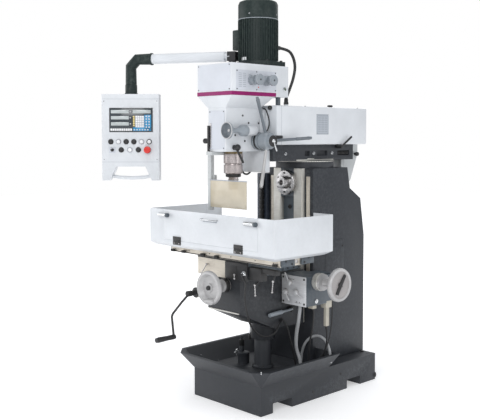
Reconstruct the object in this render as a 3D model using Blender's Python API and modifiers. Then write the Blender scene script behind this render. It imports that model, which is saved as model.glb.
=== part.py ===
"""Vertical knee-type milling machine with a sliding, swivelling ram, a control pendant and a splash guard.

Metres, +Z up. The origin is the centre of the base's underside. +X is the operator's right, which is
also the table's length, and +Y points from the operator towards the column's back.
"""

import math

import bmesh
import bpy
from mathutils import Matrix, Vector

# ---- clearances ----
GAP = 0.0003          # between pieces that touch
RUN = 0.0005          # between a shaft and its bore
SIDE = 24             # sides of an ordinary round piece
FINE = 32             # sides of a large round piece

# ---- base and chip tray ----
BASE_HALF_WIDTH = 0.261
BASE_HALF_LENGTH = 0.473
BASE_HEIGHT = 0.155
POCKET_HEIGHT = 0.050          # forklift pockets through the base
POCKET_FRONT = (-0.385, -0.242)
POCKET_REAR = (0.214, 0.332)
TRAY_FLARE = 0.086             # how far the rim stands out past the base
TRAY_RISE = 0.092              # rim height over the base
TRAY_BACK = 0.050              # where the rim ends
TRAY_CHAMFER = 0.065
TRAY_WALL = 0.007

# ---- column ----
COLUMN_HALF_WIDTH = 0.170
COLUMN_FRONT = 0.022
COLUMN_HEIGHT = 1.095          # over the base
SLOPE_TOP = 0.120              # the narrower top of the back
SLOPE_RUN = 0.064
WAY_HALF_WIDTH = 0.107
WAY_DEPTH = 0.027
WAY_SLOT_HALF = 0.050
WAY_BOTTOM = 0.230             # over the base
CABINET_WIDTH = 0.080
CABINET_DEPTH = 0.330
CABINET_HEIGHT = 0.760
ARBOR_HEIGHT = 1.170           # horizontal spindle axis
CAP_RADIUS = 0.070
CAP_THICK = 0.025
HSPINDLE_RADIUS = 0.034
HSPINDLE_NOSE = 0.026          # nose past the cap

# ---- turret and ram ----
TURRET_Y = 0.140
TURRET_RADIUS = 0.166
TURRET_HEIGHT = 0.043
SLIDE_HALF_WIDTH = 0.120
SLIDE_HEIGHT = 0.088
SLIDE_FRONT = -0.2447
SLIDE_REAR = 0.431
COVER_HALF_WIDTH = 0.150
COVER_HEIGHT = 0.210
COVER_REAR = 0.521
BRACKET_THICK = 0.045          # head mount between the ram and the head
BRACKET_HALF_WIDTH = 0.100
BRACKET_DROP = 0.058           # how far it hangs under the ram slide
ARBOR_BRACKET_LENGTH = 0.138
ARBOR_BRACKET_DROP = 0.150
ARBOR_BRACKET_HALF = 0.045

# ---- head ----
SPINDLE_Y = -0.420
HOUSING_HALF_WIDTH = 0.068
HOUSING_FRONT = -0.534
HOUSING_BOTTOM = 1.348
FUNNEL_BOTTOM = 1.575
CASING_BOTTOM = 1.636
CASING_HEIGHT = 0.164
CASING_HALF_WIDTH = 0.132
CASING_FRONT = -0.553
CASING_REAR = -0.139
CHAMBER_WALL = 0.013
CHAMBER_HEIGHT = 0.090
MOTOR_Y = -0.236
MOTOR_RADIUS = 0.104
MOTOR_LENGTH = 0.224
FLANGE_THICK = 0.026
FLANGE_HALF = 0.112
FAN_COVER_RADIUS = 0.1075
FAN_COVER_HEIGHT = 0.100
FAN_COVER_WALL = 0.004
GEAR_THICK = 0.018
PINION_RADIUS = 0.075
ROTOR_SHAFT_RADIUS = 0.012
GEAR_BACKLASH = 0.002

# ---- quill and spindle ----
QUILL_RADIUS = 0.0375
COLLAR_RADIUS = 0.0475
COLLAR_HEIGHT = 0.064
SPINDLE_RADIUS = 0.0205
SPLINE_RADIUS = 0.0140
CHUCK_RADIUS = 0.0435
CHUCK_HEIGHT = 0.052
NOSE_RADIUS = 0.026
NOSE_HEIGHT = 0.085
TOOL_RADIUS = 0.010
QUILL_TRAVEL = 0.120

# ---- feed controls on the head ----
STAR_Y, STAR_Z = -0.310, 1.403
STAR_RADIUS = 0.0436
STAR_REACH = 0.264
STAR_LEAN = 0.069
STAR_FIRST_DEG = 3.5
SPOKE_RADIUS = 0.008
FINE_X, FINE_Z = 0.105, 1.457
SPEED_LEVER_Y = (-0.414, -0.315)
SPEED_LEVER_Z = 1.716

# ---- knee, saddle, table ----
KNEE_HALF_WIDTH = 0.125
KNEE_FRONT = -0.490
KNEE_TOP = 0.688
KNEE_FRONT_DEPTH = 0.178
KNEE_REAR_DEPTH = 0.300
SCREW_Y = -0.200               # vertical elevating screw
BOSS_RADIUS = 0.066
BOSS_BOTTOM = 0.320
PEDESTAL_RADIUS = 0.047
PEDESTAL_HEIGHT = 0.205
LIFT_SCREW_RADIUS = 0.017
SADDLE_HALF_WIDTH = 0.196
SADDLE_FRONT = -0.500
SADDLE_REAR = -0.245
SADDLE_HEIGHT = 0.098
TABLE_HALF_LENGTH = 0.420
TABLE_FRONT = -0.500
TABLE_WIDTH = 0.240
TABLE_HEIGHT = 0.083
TSLOT_WIDTH = 0.014
TSLOT_PITCH = 0.060
TSLOT_DEPTH = 0.022
CHANNEL_WIDTH = 0.044          # underside channel for the table's screw
CHANNEL_HEIGHT = 0.042
FEED_SCREW_RADIUS = 0.010
CROSS_X, CROSS_Z = 0.023, 0.650
CROSS_SCREW_RADIUS = 0.012
WHEEL_RADIUS = 0.088
CROSS_WHEEL_Y = -0.610
CRANK_X, CRANK_Z = -0.100, 0.608
CRANK_ARM = 0.210
GEARBOX_WIDTH = 0.179
GEARBOX_FRONT = -0.178
GEARBOX_BACK = 0.050
GEARBOX_BOTTOM, GEARBOX_TOP = 0.527, 0.6865
TABLE_WHEEL_Y, TABLE_WHEEL_Z = -0.096, 0.656
TABLE_WHEEL_STANDOFF = 0.152

# ---- splash guard ----
GUARD_HALF_LENGTH = 0.486
GUARD_FRONT = -0.601
GUARD_WIDTH = 0.420
GUARD_BOTTOM_STEP = 0.058      # guard's floor over the table's underside
GUARD_HEIGHT = 0.187
GUARD_SHEET = 0.004
GUARD_RETURN = 0.130
DOOR_HALF = 0.366
DOOR_SILL = 0.023

# ---- pendant ----
ARM_START = Vector((-0.102, -0.330))
ARM_ANGLE_DEG = 207.5
ARM_LENGTH = 0.607
ARM_RADIUS = 0.024
ARM_RISE = 0.058               # arm axis over the casing
PENDANT_TURN_DEG = 45.5
PENDANT_WIDTH = 0.320
PENDANT_HEIGHT = 0.484
PENDANT_DEPTH = 0.090
PENDANT_DROP = 0.194           # arm axis to the case's top
LEG_WIDTH = 0.052
LEG_HEIGHT = 0.078
BUTTON_RADIUS = 0.0105
BUTTON_PROUD = 0.007
BUTTON_TRAVEL = 0.003
STOP_RADIUS = 0.020
BUTTON_ROW_DROPS = (0.2665, 0.312)     # rows under the case's top
TOP_ROW_X = (-0.110, -0.067, -0.024, 0.019, 0.062, 0.105)
LOW_ROW_X = (-0.052, -0.004, 0.044)
STOP_X, JOG_X = 0.096, -0.102

# ---- worked out from the above ----
COLUMN_TOP = BASE_HEIGHT + COLUMN_HEIGHT
COLUMN_REAR = BASE_HALF_LENGTH
WAY_FACE = COLUMN_FRONT - WAY_DEPTH
SLIDE_BOTTOM = COLUMN_TOP + TURRET_HEIGHT + 2 * GAP
COVER_BOTTOM = SLIDE_BOTTOM + SLIDE_HEIGHT + GAP
COVER_TOP = COVER_BOTTOM + COVER_HEIGHT
BRACKET_FRONT = SLIDE_FRONT - GAP - BRACKET_THICK
HOUSING_REAR = BRACKET_FRONT - GAP
CASING_TOP = CASING_BOTTOM + CASING_HEIGHT
GEAR_RADIUS = MOTOR_Y - SPINDLE_Y - PINION_RADIUS - GEAR_BACKLASH
GEAR_Z = CASING_BOTTOM + CHAMBER_WALL + 0.008
CHAMBER_TOP = CASING_BOTTOM + CHAMBER_WALL + CHAMBER_HEIGHT
MOTOR_BOTTOM = CASING_TOP + GAP
MOTOR_TOP = MOTOR_BOTTOM + FLANGE_THICK + MOTOR_LENGTH
COLLAR_TOP = HOUSING_BOTTOM - GAP
CHUCK_TOP = COLLAR_TOP - COLLAR_HEIGHT - GAP
CHUCK_BOTTOM = CHUCK_TOP - CHUCK_HEIGHT - NOSE_HEIGHT
SADDLE_BOTTOM = KNEE_TOP + GAP
SADDLE_TOP = SADDLE_BOTTOM + SADDLE_HEIGHT
TABLE_BOTTOM = SADDLE_TOP + GAP
TABLE_TOP = TABLE_BOTTOM + TABLE_HEIGHT
TABLE_MID_Y = TABLE_FRONT + TABLE_WIDTH / 2
GUARD_BOTTOM = TABLE_BOTTOM + GUARD_BOTTOM_STEP
GUARD_TOP = GUARD_BOTTOM + GUARD_HEIGHT
GUARD_REAR = GUARD_FRONT + GUARD_WIDTH
FEED_SCREW_Z = TABLE_BOTTOM + CHANNEL_HEIGHT / 2
ARM_Z = CASING_TOP + ARM_RISE
ARM_DIRECTION = Vector((math.cos(math.radians(ARM_ANGLE_DEG)), math.sin(math.radians(ARM_ANGLE_DEG))))
ARM_END = ARM_START + ARM_DIRECTION * ARM_LENGTH
CASE_TOP = ARM_Z - PENDANT_DROP

X_AXIS, Y_AXIS, Z_AXIS = Vector((1, 0, 0)), Vector((0, 1, 0)), Vector((0, 0, 1))
COLOURS = {
    "dark_paint": ((0.045, 0.050, 0.058), 0.45, 0.0),
    "light_paint": ((0.82, 0.83, 0.84), 0.40, 0.0),
    "grey_paint": ((0.55, 0.56, 0.58), 0.45, 0.0),
    "motor_green": ((0.012, 0.022, 0.018), 0.50, 0.0),
    "black_plastic": ((0.012, 0.012, 0.013), 0.45, 0.0),
    "bare_iron": ((0.46, 0.43, 0.39), 0.45, 1.0),
    "machined": ((0.62, 0.62, 0.61), 0.32, 1.0),
    "steel": ((0.55, 0.56, 0.58), 0.25, 1.0),
    "clear_sheet": ((0.85, 0.80, 0.68), 0.10, 0.0),
    "red_plastic": ((0.70, 0.03, 0.03), 0.35, 0.0),
    "white_plastic": ((0.80, 0.80, 0.80), 0.35, 0.0),
}


def clear_scene():
    for item in list(bpy.data.objects):
        bpy.data.objects.remove(item, do_unlink=True)


def new_collection(name):
    made = bpy.data.collections.new(name)
    bpy.context.scene.collection.children.link(made)
    return made


def move_to(obj, collection):
    for old in list(obj.users_collection):
        old.objects.unlink(obj)
    collection.objects.link(obj)


def finish(obj, name, colour):
    """Names a piece, puts it among the parts and gives it a material of its own."""
    obj.name = obj.data.name = name
    move_to(obj, PARTS)
    rgb, rough, metal = COLOURS[colour]
    material = bpy.data.materials.new(name)
    material.use_nodes = True
    shader = material.node_tree.nodes["Principled BSDF"]
    shader.inputs["Base Color"].default_value = (*rgb, 1)
    shader.inputs["Roughness"].default_value = rough
    shader.inputs["Metallic"].default_value = metal
    obj.data.materials.clear()
    obj.data.materials.append(material)
    return obj


def set_origin(obj, point):
    """Moves an unturned object's origin to a point on its joint's axis."""
    shift = Vector(point) - obj.location
    obj.data.transform(Matrix.Translation(-shift))
    obj.location = point
    return obj


# ---- primitives, each a mesh object in world metres ----

def box(low, high):
    low, high = Vector(low), Vector(high)
    bpy.ops.mesh.primitive_cube_add(size=1, location=(low + high) / 2)
    obj = bpy.context.object
    obj.scale = high - low
    bpy.ops.object.transform_apply(location=False, rotation=False, scale=True)
    return obj


def round_box(low, high, radius):
    obj = box(low, high)
    bevel = obj.modifiers.new("edges", "BEVEL")
    bevel.width, bevel.segments = radius, 2
    return obj


def taper_box(bottom, top, z_low, z_high):
    """A box whose bottom and top rectangles, each (x0, x1, y0, y1), differ."""
    obj = box((0, 0, z_low), (1, 1, z_high))
    for vertex in obj.data.vertices:
        rect = bottom if vertex.co.z < 0 else top
        x = rect[0] if vertex.co.x < 0 else rect[1]
        y = rect[2] if vertex.co.y < 0 else rect[3]
        vertex.co.x, vertex.co.y = x - obj.location.x, y - obj.location.y
    return obj


def rod(start, end, radius, sides=SIDE):
    start, end = Vector(start), Vector(end)
    along = end - start
    bpy.ops.mesh.primitive_cylinder_add(vertices=sides, radius=radius, depth=along.length)
    obj = bpy.context.object
    obj.matrix_world = Matrix.Translation((start + end) / 2) @ along.to_track_quat("Z", "Y").to_matrix().to_4x4()
    return obj


def turned(profile, origin, axis=Z_AXIS, sides=SIDE):
    """A turned piece. profile: (radius, distance along the axis), outer side from the far end back."""
    mesh = bpy.data.meshes.new("profile")
    points = [(r, 0, h) for r, h in profile]
    mesh.from_pydata(points, [(i, i + 1) for i in range(len(points) - 1)], [])
    obj = bpy.data.objects.new("turned", mesh)
    bpy.context.scene.collection.objects.link(obj)
    screw = obj.modifiers.new("turn", "SCREW")
    screw.steps = screw.render_steps = sides
    screw.use_merge_vertices = True
    screw.merge_threshold = 0.00001
    obj.matrix_world = Matrix.Translation(origin) @ axis.to_track_quat("Z", "Y").to_matrix().to_4x4()
    return to_mesh(obj)


def outline(points, low, high, axis):
    """A flat outline given as (a, b) in the plane across the axis, filled and made high - low thick."""
    curve = bpy.data.curves.new("outline", "CURVE")
    curve.dimensions, curve.fill_mode = "2D", "BOTH"
    curve.extrude = (high - low) / 2
    spline = curve.splines.new("POLY")
    spline.points.add(len(points) - 1)
    for point, (a, b) in zip(spline.points, points):
        point.co = (a, b, 0, 1)
    spline.use_cyclic_u = True
    obj = bpy.data.objects.new("outline", curve)
    bpy.context.scene.collection.objects.link(obj)
    planes = {"X": (Y_AXIS, Z_AXIS, X_AXIS), "Y": (-X_AXIS, Z_AXIS, Y_AXIS), "Z": (X_AXIS, Y_AXIS, Z_AXIS)}
    a, b, normal = planes[axis]
    turn = Matrix((a, b, normal)).transposed().to_4x4()
    obj.matrix_world = Matrix.Translation(normal * (low + high) / 2) @ turn
    return to_mesh(obj)


def smooth_route(points, spacing):
    """Points read every `spacing` or so from a smooth curve through the route's own points."""
    ends = [Vector(p) for p in points]
    ends = [2 * ends[0] - ends[1], *ends, 2 * ends[-1] - ends[-2]]
    route = []
    for p0, p1, p2, p3 in zip(ends, ends[1:], ends[2:], ends[3:]):
        steps = max(1, round((p2 - p1).length / spacing))
        for i in range(steps):
            t = i / steps
            route.append(0.5 * (2 * p1 + (p2 - p0) * t + (2 * p0 - 5 * p1 + 4 * p2 - p3) * t * t
                                + (3 * p1 - 3 * p2 + p3 - p0) * t ** 3))
    return [*route, ends[-2]]


def tube(points, radius, resolution=2):
    curve = bpy.data.curves.new("tube", "CURVE")
    curve.dimensions = "3D"
    curve.bevel_depth, curve.bevel_resolution, curve.use_fill_caps = radius, resolution, True
    spline = curve.splines.new("POLY")
    spline.points.add(len(points) - 1)
    for point, place in zip(spline.points, points):
        point.co = (*place, 1)
    obj = bpy.data.objects.new("tube", curve)
    bpy.context.scene.collection.objects.link(obj)
    return obj


def to_mesh(obj):
    """Turns an object and its modifiers into a plain closed mesh object."""
    bpy.context.view_layer.update()
    evaluated = obj.evaluated_get(bpy.context.evaluated_depsgraph_get())
    mesh = bpy.data.meshes.new_from_object(evaluated)
    work = bmesh.new()
    work.from_mesh(mesh)
    bmesh.ops.remove_doubles(work, verts=work.verts, dist=0.00001)
    work.to_mesh(mesh)
    work.free()
    made = bpy.data.objects.new(obj.name, mesh)
    made.matrix_world = obj.matrix_world.copy()
    bpy.context.scene.collection.objects.link(made)
    bpy.data.objects.remove(obj, do_unlink=True)
    return made


def fused(first, *others):
    """Joins overlapping solids into one body."""
    for other in others:
        other = to_mesh(other)
        union = first.modifiers.new("join", "BOOLEAN")
        union.operation, union.solver, union.object = "UNION", "EXACT", other
        first = to_mesh(first)
        bpy.data.objects.remove(other, do_unlink=True)
    return first


def cut(obj, *cutters):
    """Cuts each tool from a piece; the tools stay as hidden wire helpers."""
    for tool in cutters:
        tool.name = "cutter"
        tool.hide_render, tool.display_type = True, "WIRE"
        move_to(tool, CUTTERS)
        boolean = obj.modifiers.new("cut", "BOOLEAN")
        boolean.operation, boolean.solver, boolean.object = "DIFFERENCE", "EXACT", tool
    return obj


def shade_round(obj):
    if obj.type == "MESH":
        obj.data.shade_smooth()
        obj.data.set_sharp_from_angle(angle=math.radians(35))


# ---- base, column and what stands on them ----

def tray_ring(inset, z_low, z_high):
    """The flared hopper of the chip tray, `inset` inside its outer face."""
    def ring(z):
        out = TRAY_FLARE * max(0.0, min(1.0, (z - BASE_HEIGHT) / TRAY_RISE))
        half = BASE_HALF_WIDTH + out - inset
        front = -BASE_HALF_LENGTH - out + inset
        chamfer = 0.004 + TRAY_CHAMFER * out / TRAY_FLARE
        back = TRAY_BACK - inset
        right = [(half, back, z), (half, front + chamfer, z), (half - chamfer, front, z)]
        return right + [(-x, y, z) for x, y, z in reversed(right)]

    low, high = ring(z_low), ring(z_high)
    count = len(low)
    mesh = bpy.data.meshes.new("hopper")
    sides = [(i, (i + 1) % count, count + (i + 1) % count, count + i) for i in range(count)]
    mesh.from_pydata(low + high, [], [tuple(range(count)), tuple(range(count, 2 * count)), *sides])
    work = bmesh.new()
    work.from_mesh(mesh)
    bmesh.ops.recalc_face_normals(work, faces=work.faces)
    work.to_mesh(mesh)
    work.free()
    obj = bpy.data.objects.new("hopper", mesh)
    bpy.context.scene.collection.objects.link(obj)
    return obj


def make_base():
    rim = BASE_HEIGHT + TRAY_RISE
    block = box((-BASE_HALF_WIDTH, -BASE_HALF_LENGTH, 0), (BASE_HALF_WIDTH, BASE_HALF_LENGTH, BASE_HEIGHT))
    casting = fused(block, tray_ring(0, BASE_HEIGHT - 0.004, rim))
    reach = BASE_HALF_WIDTH + 0.05
    pockets = [box((-reach, y0, -0.02), (reach, y1, POCKET_HEIGHT)) for y0, y1 in (POCKET_FRONT, POCKET_REAR)]
    well = rod((0, SCREW_Y, 0.030), (0, SCREW_Y, BASE_HEIGHT + 0.02), LIFT_SCREW_RADIUS + 0.003)
    hopper = tray_ring(TRAY_WALL, BASE_HEIGHT + 0.001, rim + 0.02)
    side = COLUMN_HALF_WIDTH + 0.003
    seat = box((-side, COLUMN_FRONT - 0.004, BASE_HEIGHT + 0.001), (side, TRAY_BACK + 0.02, rim + 0.03))
    finish(cut(casting, hopper, seat, well, *pockets), "base_casting", "dark_paint")


def make_column():
    bottom = BASE_HEIGHT + 0.001 + GAP
    back = [
        (COLUMN_FRONT, bottom), (COLUMN_REAR, bottom), (COLUMN_REAR, COLUMN_TOP - 0.400),
        (COLUMN_REAR - 0.034, COLUMN_TOP - SLOPE_TOP - SLOPE_RUN),
        (COLUMN_REAR - 0.132, COLUMN_TOP - SLOPE_TOP), (COLUMN_REAR - 0.155, COLUMN_TOP),
        (COLUMN_FRONT, COLUMN_TOP),
    ]
    body = outline(back, -COLUMN_HALF_WIDTH, COLUMN_HALF_WIDTH, "X")
    way_low = BASE_HEIGHT + WAY_BOTTOM
    ways = box((-WAY_HALF_WIDTH, WAY_FACE, way_low), (WAY_HALF_WIDTH, COLUMN_FRONT + 0.01, COLUMN_TOP - 0.0005))
    body = fused(body, ways)
    slot = box((-WAY_SLOT_HALF, WAY_FACE - 0.02, way_low - 0.02),
               (WAY_SLOT_HALF, COLUMN_FRONT - 0.004, ARBOR_HEIGHT - CAP_RADIUS - 0.01))
    bore = rod((0, WAY_FACE - 0.02, ARBOR_HEIGHT), (0, 0.260, ARBOR_HEIGHT), HSPINDLE_RADIUS + RUN)
    finish(cut(body, slot, bore), "column", "dark_paint")


def make_pedestal():
    low = BASE_HEIGHT + 0.001 + GAP
    profile = [(LIFT_SCREW_RADIUS + 0.003, PEDESTAL_HEIGHT), (PEDESTAL_RADIUS, PEDESTAL_HEIGHT),
               (PEDESTAL_RADIUS, 0.014), (PEDESTAL_RADIUS + 0.011, 0.012), (PEDESTAL_RADIUS + 0.011, 0),
               (LIFT_SCREW_RADIUS + 0.003, 0), (LIFT_SCREW_RADIUS + 0.003, PEDESTAL_HEIGHT)]
    finish(turned(profile, (0, SCREW_Y, low)), "knee_screw_pedestal", "dark_paint")


def make_cabinet():
    right = -COLUMN_HALF_WIDTH - GAP
    top = COLUMN_TOP - 0.036
    case = round_box((right - CABINET_WIDTH, COLUMN_FRONT - 0.02, top - CABINET_HEIGHT),
                     (right, COLUMN_FRONT - 0.02 + CABINET_DEPTH, top), 0.004)
    finish(case, "electrical_cabinet", "dark_paint")


def make_horizontal_spindle():
    front = WAY_FACE - GAP
    ring = [(HSPINDLE_RADIUS + RUN, CAP_THICK), (CAP_RADIUS - 0.004, CAP_THICK), (CAP_RADIUS, CAP_THICK - 0.004),
            (CAP_RADIUS, 0), (HSPINDLE_RADIUS + RUN, 0), (HSPINDLE_RADIUS + RUN, CAP_THICK)]
    finish(turned(ring, (0, front, ARBOR_HEIGHT), -Y_AXIS, FINE), "horizontal_spindle_cap", "machined")
    nose = CAP_THICK + HSPINDLE_NOSE
    shaft = [(0.0145, nose), (HSPINDLE_RADIUS, nose), (HSPINDLE_RADIUS, -0.230), (0, -0.230)]
    socket = [(0.0145, nose), (0.010, nose - 0.055), (0, nose - 0.055)]
    profile = list(reversed(socket)) + shaft[1:]
    spindle = turned(profile, (0, front, ARBOR_HEIGHT), -Y_AXIS)
    set_origin_keep(spindle, (0, front, ARBOR_HEIGHT))
    finish(spindle, "horizontal_spindle", "steel")


def set_origin_keep(obj, point):
    """Puts a turned object's origin on a point of its axis with its rotation folded into its mesh."""
    obj.data.transform(Matrix.Translation(-Vector(point)) @ obj.matrix_world)
    obj.matrix_world = Matrix.Translation(point)


CONDUIT_RADIUS = 0.012
CONDUIT_X, CONDUIT_Y = -0.199, COLUMN_FRONT - 0.02 - CONDUIT_RADIUS - GAP
CONDUIT_ROUTE = [(CONDUIT_X, CONDUIT_Y, COLUMN_TOP - drop) for drop in (0.034, 0.180, 0.360, 0.540, 0.740)]
BARREL_OUT = Vector((0.567, 0.8237, 0))       # where the motor's cable leaves the barrel
CABLE_START = Vector((0, MOTOR_Y, 1.905)) + BARREL_OUT * (MOTOR_RADIUS + GAP)
GLAND_X, GLAND_Y, GLAND_RISE = 0.100, -0.122, 0.012
CABLE_END = Vector((GLAND_X, GLAND_Y, COVER_TOP + GLAND_RISE + GAP))
MOTOR_CABLE_ROUTE = [CABLE_START, CABLE_START + BARREL_OUT * 0.014, (0.100, -0.100, 1.888), (0.118, -0.084, 1.850),
                     (0.124, -0.078, 1.800), (0.120, -0.088, 1.740), (0.110, -0.106, 1.680),
                     CABLE_END + Z_AXIS * 0.026, CABLE_END]
HEAD_CABLE_END = Vector((-0.100, -0.172, SLIDE_BOTTOM - GAP))
HEAD_CABLE_START = Vector((-0.030, -0.340, HOUSING_BOTTOM - GAP))
HEAD_CABLE_ROUTE = [HEAD_CABLE_START, HEAD_CABLE_START - Z_AXIS * 0.024, (-0.034, -0.330, 1.266), (-0.044, -0.308, 1.234),
                    (-0.062, -0.272, 1.222), (-0.080, -0.230, 1.224), (-0.096, -0.190, 1.246),
                    HEAD_CABLE_END - Z_AXIS * 0.018, HEAD_CABLE_END]


def make_cables():
    conduit = tube(CONDUIT_ROUTE, CONDUIT_RADIUS)
    finish(conduit, "cable_conduit", "black_plastic")
    cable = tube(smooth_route(MOTOR_CABLE_ROUTE, 0.018), 0.008)
    finish(cable, "motor_cable", "black_plastic")
    head = tube(smooth_route(HEAD_CABLE_ROUTE, 0.018), 0.005)
    finish(head, "head_cable", "black_plastic")


# ---- turret and ram ----

def make_turret():
    low = COLUMN_TOP + GAP
    disc = [(0, TURRET_HEIGHT), (TURRET_RADIUS - 0.004, TURRET_HEIGHT), (TURRET_RADIUS, TURRET_HEIGHT - 0.004),
            (TURRET_RADIUS, 0), (0, 0)]
    finish(turned(disc, (0, TURRET_Y, low), sides=FINE), "turret_plate", "dark_paint")


def make_ram():
    slide = box((-SLIDE_HALF_WIDTH, SLIDE_FRONT, SLIDE_BOTTOM), (SLIDE_HALF_WIDTH, SLIDE_REAR, SLIDE_BOTTOM + SLIDE_HEIGHT))
    window_y = ((0.010, 0.050), (0.110, 0.200), (0.290, 0.395))
    mid = SLIDE_BOTTOM + SLIDE_HEIGHT * 0.45
    windows = [box((SLIDE_HALF_WIDTH - 0.020, y0, mid - 0.014), (SLIDE_HALF_WIDTH + 0.02, y1, mid + 0.014))
               for y0, y1 in window_y]
    finish(cut(slide, *windows), "ram_slide", "dark_paint")
    cover = round_box((-COVER_HALF_WIDTH, SLIDE_FRONT, COVER_BOTTOM), (COVER_HALF_WIDTH, COVER_REAR, COVER_TOP), 0.008)
    gland = turned([(0, GLAND_RISE), (0.010, GLAND_RISE), (0.012, 0.008), (0.012, -0.006), (0, -0.006)],
                   (GLAND_X, GLAND_Y, COVER_TOP))
    finish(fused(cover, gland), "ram_cover", "light_paint")
    front = SLIDE_REAR + GAP
    low, top = COVER_BOTTOM - GAP - ARBOR_BRACKET_DROP - SLIDE_HEIGHT, COVER_BOTTOM - GAP
    side = [(front, top), (front, low + 0.010), (front + 0.012, low), (front + 0.045, low),
            (front + 0.070, low + 0.020), (front + ARBOR_BRACKET_LENGTH, top - 0.060),
            (front + ARBOR_BRACKET_LENGTH, top)]
    finish(outline(side, -ARBOR_BRACKET_HALF, ARBOR_BRACKET_HALF, "X"), "arbor_bracket", "grey_paint")
    foot = box((-BRACKET_HALF_WIDTH, BRACKET_FRONT, SLIDE_BOTTOM - BRACKET_DROP),
               (BRACKET_HALF_WIDTH, SLIDE_FRONT - GAP, STAR_Z - STAR_RADIUS * 1.08 - 0.003))
    neck = box((-HOUSING_HALF_WIDTH + 0.002, BRACKET_FRONT, SLIDE_BOTTOM - BRACKET_DROP / 2),
               (HOUSING_HALF_WIDTH - 0.002, SLIDE_FRONT - GAP, FUNNEL_BOTTOM - 0.003))
    finish(fused(foot, neck), "head_mount_bracket", "grey_paint")


def make_ram_clamp():
    pivot = Vector((SLIDE_HALF_WIDTH + GAP, 0.275, SLIDE_BOTTOM + SLIDE_HEIGHT - 0.013))
    out = pivot + X_AXIS * 0.046
    lever = fused(to_mesh(rod(pivot, out, 0.009)),
                  rod(out - X_AXIS * 0.006, out + Vector((0.004, 0.079, 0.057)), 0.006, 12))
    set_origin_keep(lever, pivot)
    finish(lever, "ram_clamp_lever", "black_plastic")


# ---- head ----

def make_casing():
    case = box((-CASING_HALF_WIDTH, CASING_FRONT, CASING_BOTTOM), (CASING_HALF_WIDTH, CASING_REAR, CASING_TOP))
    chamber = box((-CASING_HALF_WIDTH + CHAMBER_WALL, CASING_FRONT + CHAMBER_WALL, CASING_BOTTOM + CHAMBER_WALL),
                  (CASING_HALF_WIDTH - CHAMBER_WALL, CASING_REAR - CHAMBER_WALL, CHAMBER_TOP))
    spindle_hole = rod((0, SPINDLE_Y, CASING_BOTTOM - 0.02), (0, SPINDLE_Y, CASING_BOTTOM + CHAMBER_WALL + 0.01), 0.030)
    spline_hole = rod((0, SPINDLE_Y, CHAMBER_TOP - 0.01), (0, SPINDLE_Y, CASING_TOP - 0.003), SPLINE_RADIUS + 0.002)
    motor_hole = rod((0, MOTOR_Y, CHAMBER_TOP - 0.01), (0, MOTOR_Y, CASING_TOP + 0.02), ROTOR_SHAFT_RADIUS + RUN)
    finish(cut(case, chamber, spindle_hole, spline_hole, motor_hole), "gearbox_casing", "light_paint")


def make_housing():
    lower = box((-HOUSING_HALF_WIDTH, HOUSING_FRONT, HOUSING_BOTTOM), (HOUSING_HALF_WIDTH, HOUSING_REAR, FUNNEL_BOTTOM + 0.002))
    funnel = taper_box((-HOUSING_HALF_WIDTH - 0.002, HOUSING_HALF_WIDTH + 0.002, HOUSING_FRONT - 0.002, HOUSING_REAR + 0.002),
                       (-CASING_HALF_WIDTH, CASING_HALF_WIDTH, CASING_FRONT, SLIDE_FRONT - 0.001),
                       FUNNEL_BOTTOM, CASING_BOTTOM - GAP)
    boss = rod((FINE_X - 0.014, SPINDLE_Y - 0.009, FINE_Z), (FINE_X - 0.014, SPINDLE_Y + 0.070, FINE_Z), 0.026)
    body = fused(lower, funnel, boss)
    bore = rod((0, SPINDLE_Y, HOUSING_BOTTOM - 0.02), (0, SPINDLE_Y, CASING_BOTTOM + 0.02), QUILL_RADIUS + RUN, FINE)
    finish(cut(body, bore), "quill_housing", "light_paint")


def make_motor():
    half, front, rear, corner = FLANGE_HALF, MOTOR_Y - FLANGE_HALF + 0.016, CASING_REAR - 0.003, 0.045
    right = [(half, rear), (half, front + corner), (half - corner, front)]
    plate = outline(right + [(-x, y) for x, y in reversed(right)], MOTOR_BOTTOM, MOTOR_BOTTOM + FLANGE_THICK, "Z")
    low = MOTOR_BOTTOM + FLANGE_THICK - 0.004
    barrel = rod((0, MOTOR_Y, low), (0, MOTOR_Y, MOTOR_TOP), MOTOR_RADIUS, FINE)
    terminal = round_box((-MOTOR_RADIUS - 0.034, MOTOR_Y - 0.060, low + 0.072), (-MOTOR_RADIUS + 0.014, MOTOR_Y + 0.050, low + 0.182), 0.004)
    body = fused(plate, barrel, terminal)
    stator = rod((0, MOTOR_Y, low + 0.020), (0, MOTOR_Y, MOTOR_TOP + 0.02), 0.060)
    shaft = rod((0, MOTOR_Y, MOTOR_BOTTOM - 0.02), (0, MOTOR_Y, low + 0.03), ROTOR_SHAFT_RADIUS + RUN)
    finish(cut(body, stator, shaft), "motor_body", "motor_green")
    inner, outer = FAN_COVER_RADIUS - FAN_COVER_WALL, FAN_COVER_RADIUS
    height, wall = FAN_COVER_HEIGHT, FAN_COVER_WALL
    cup = [(0, height), (outer - 0.020, height), (outer - 0.006, height - 0.006), (outer, height - 0.020), (outer, 0),
           (inner, 0), (inner, height - 0.022), (inner - 0.014, height - wall - 0.003), (0, height - wall)]
    finish(turned(cup, (0, MOTOR_Y, MOTOR_TOP + GAP), sides=FINE), "motor_fan_cover", "motor_green")


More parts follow.
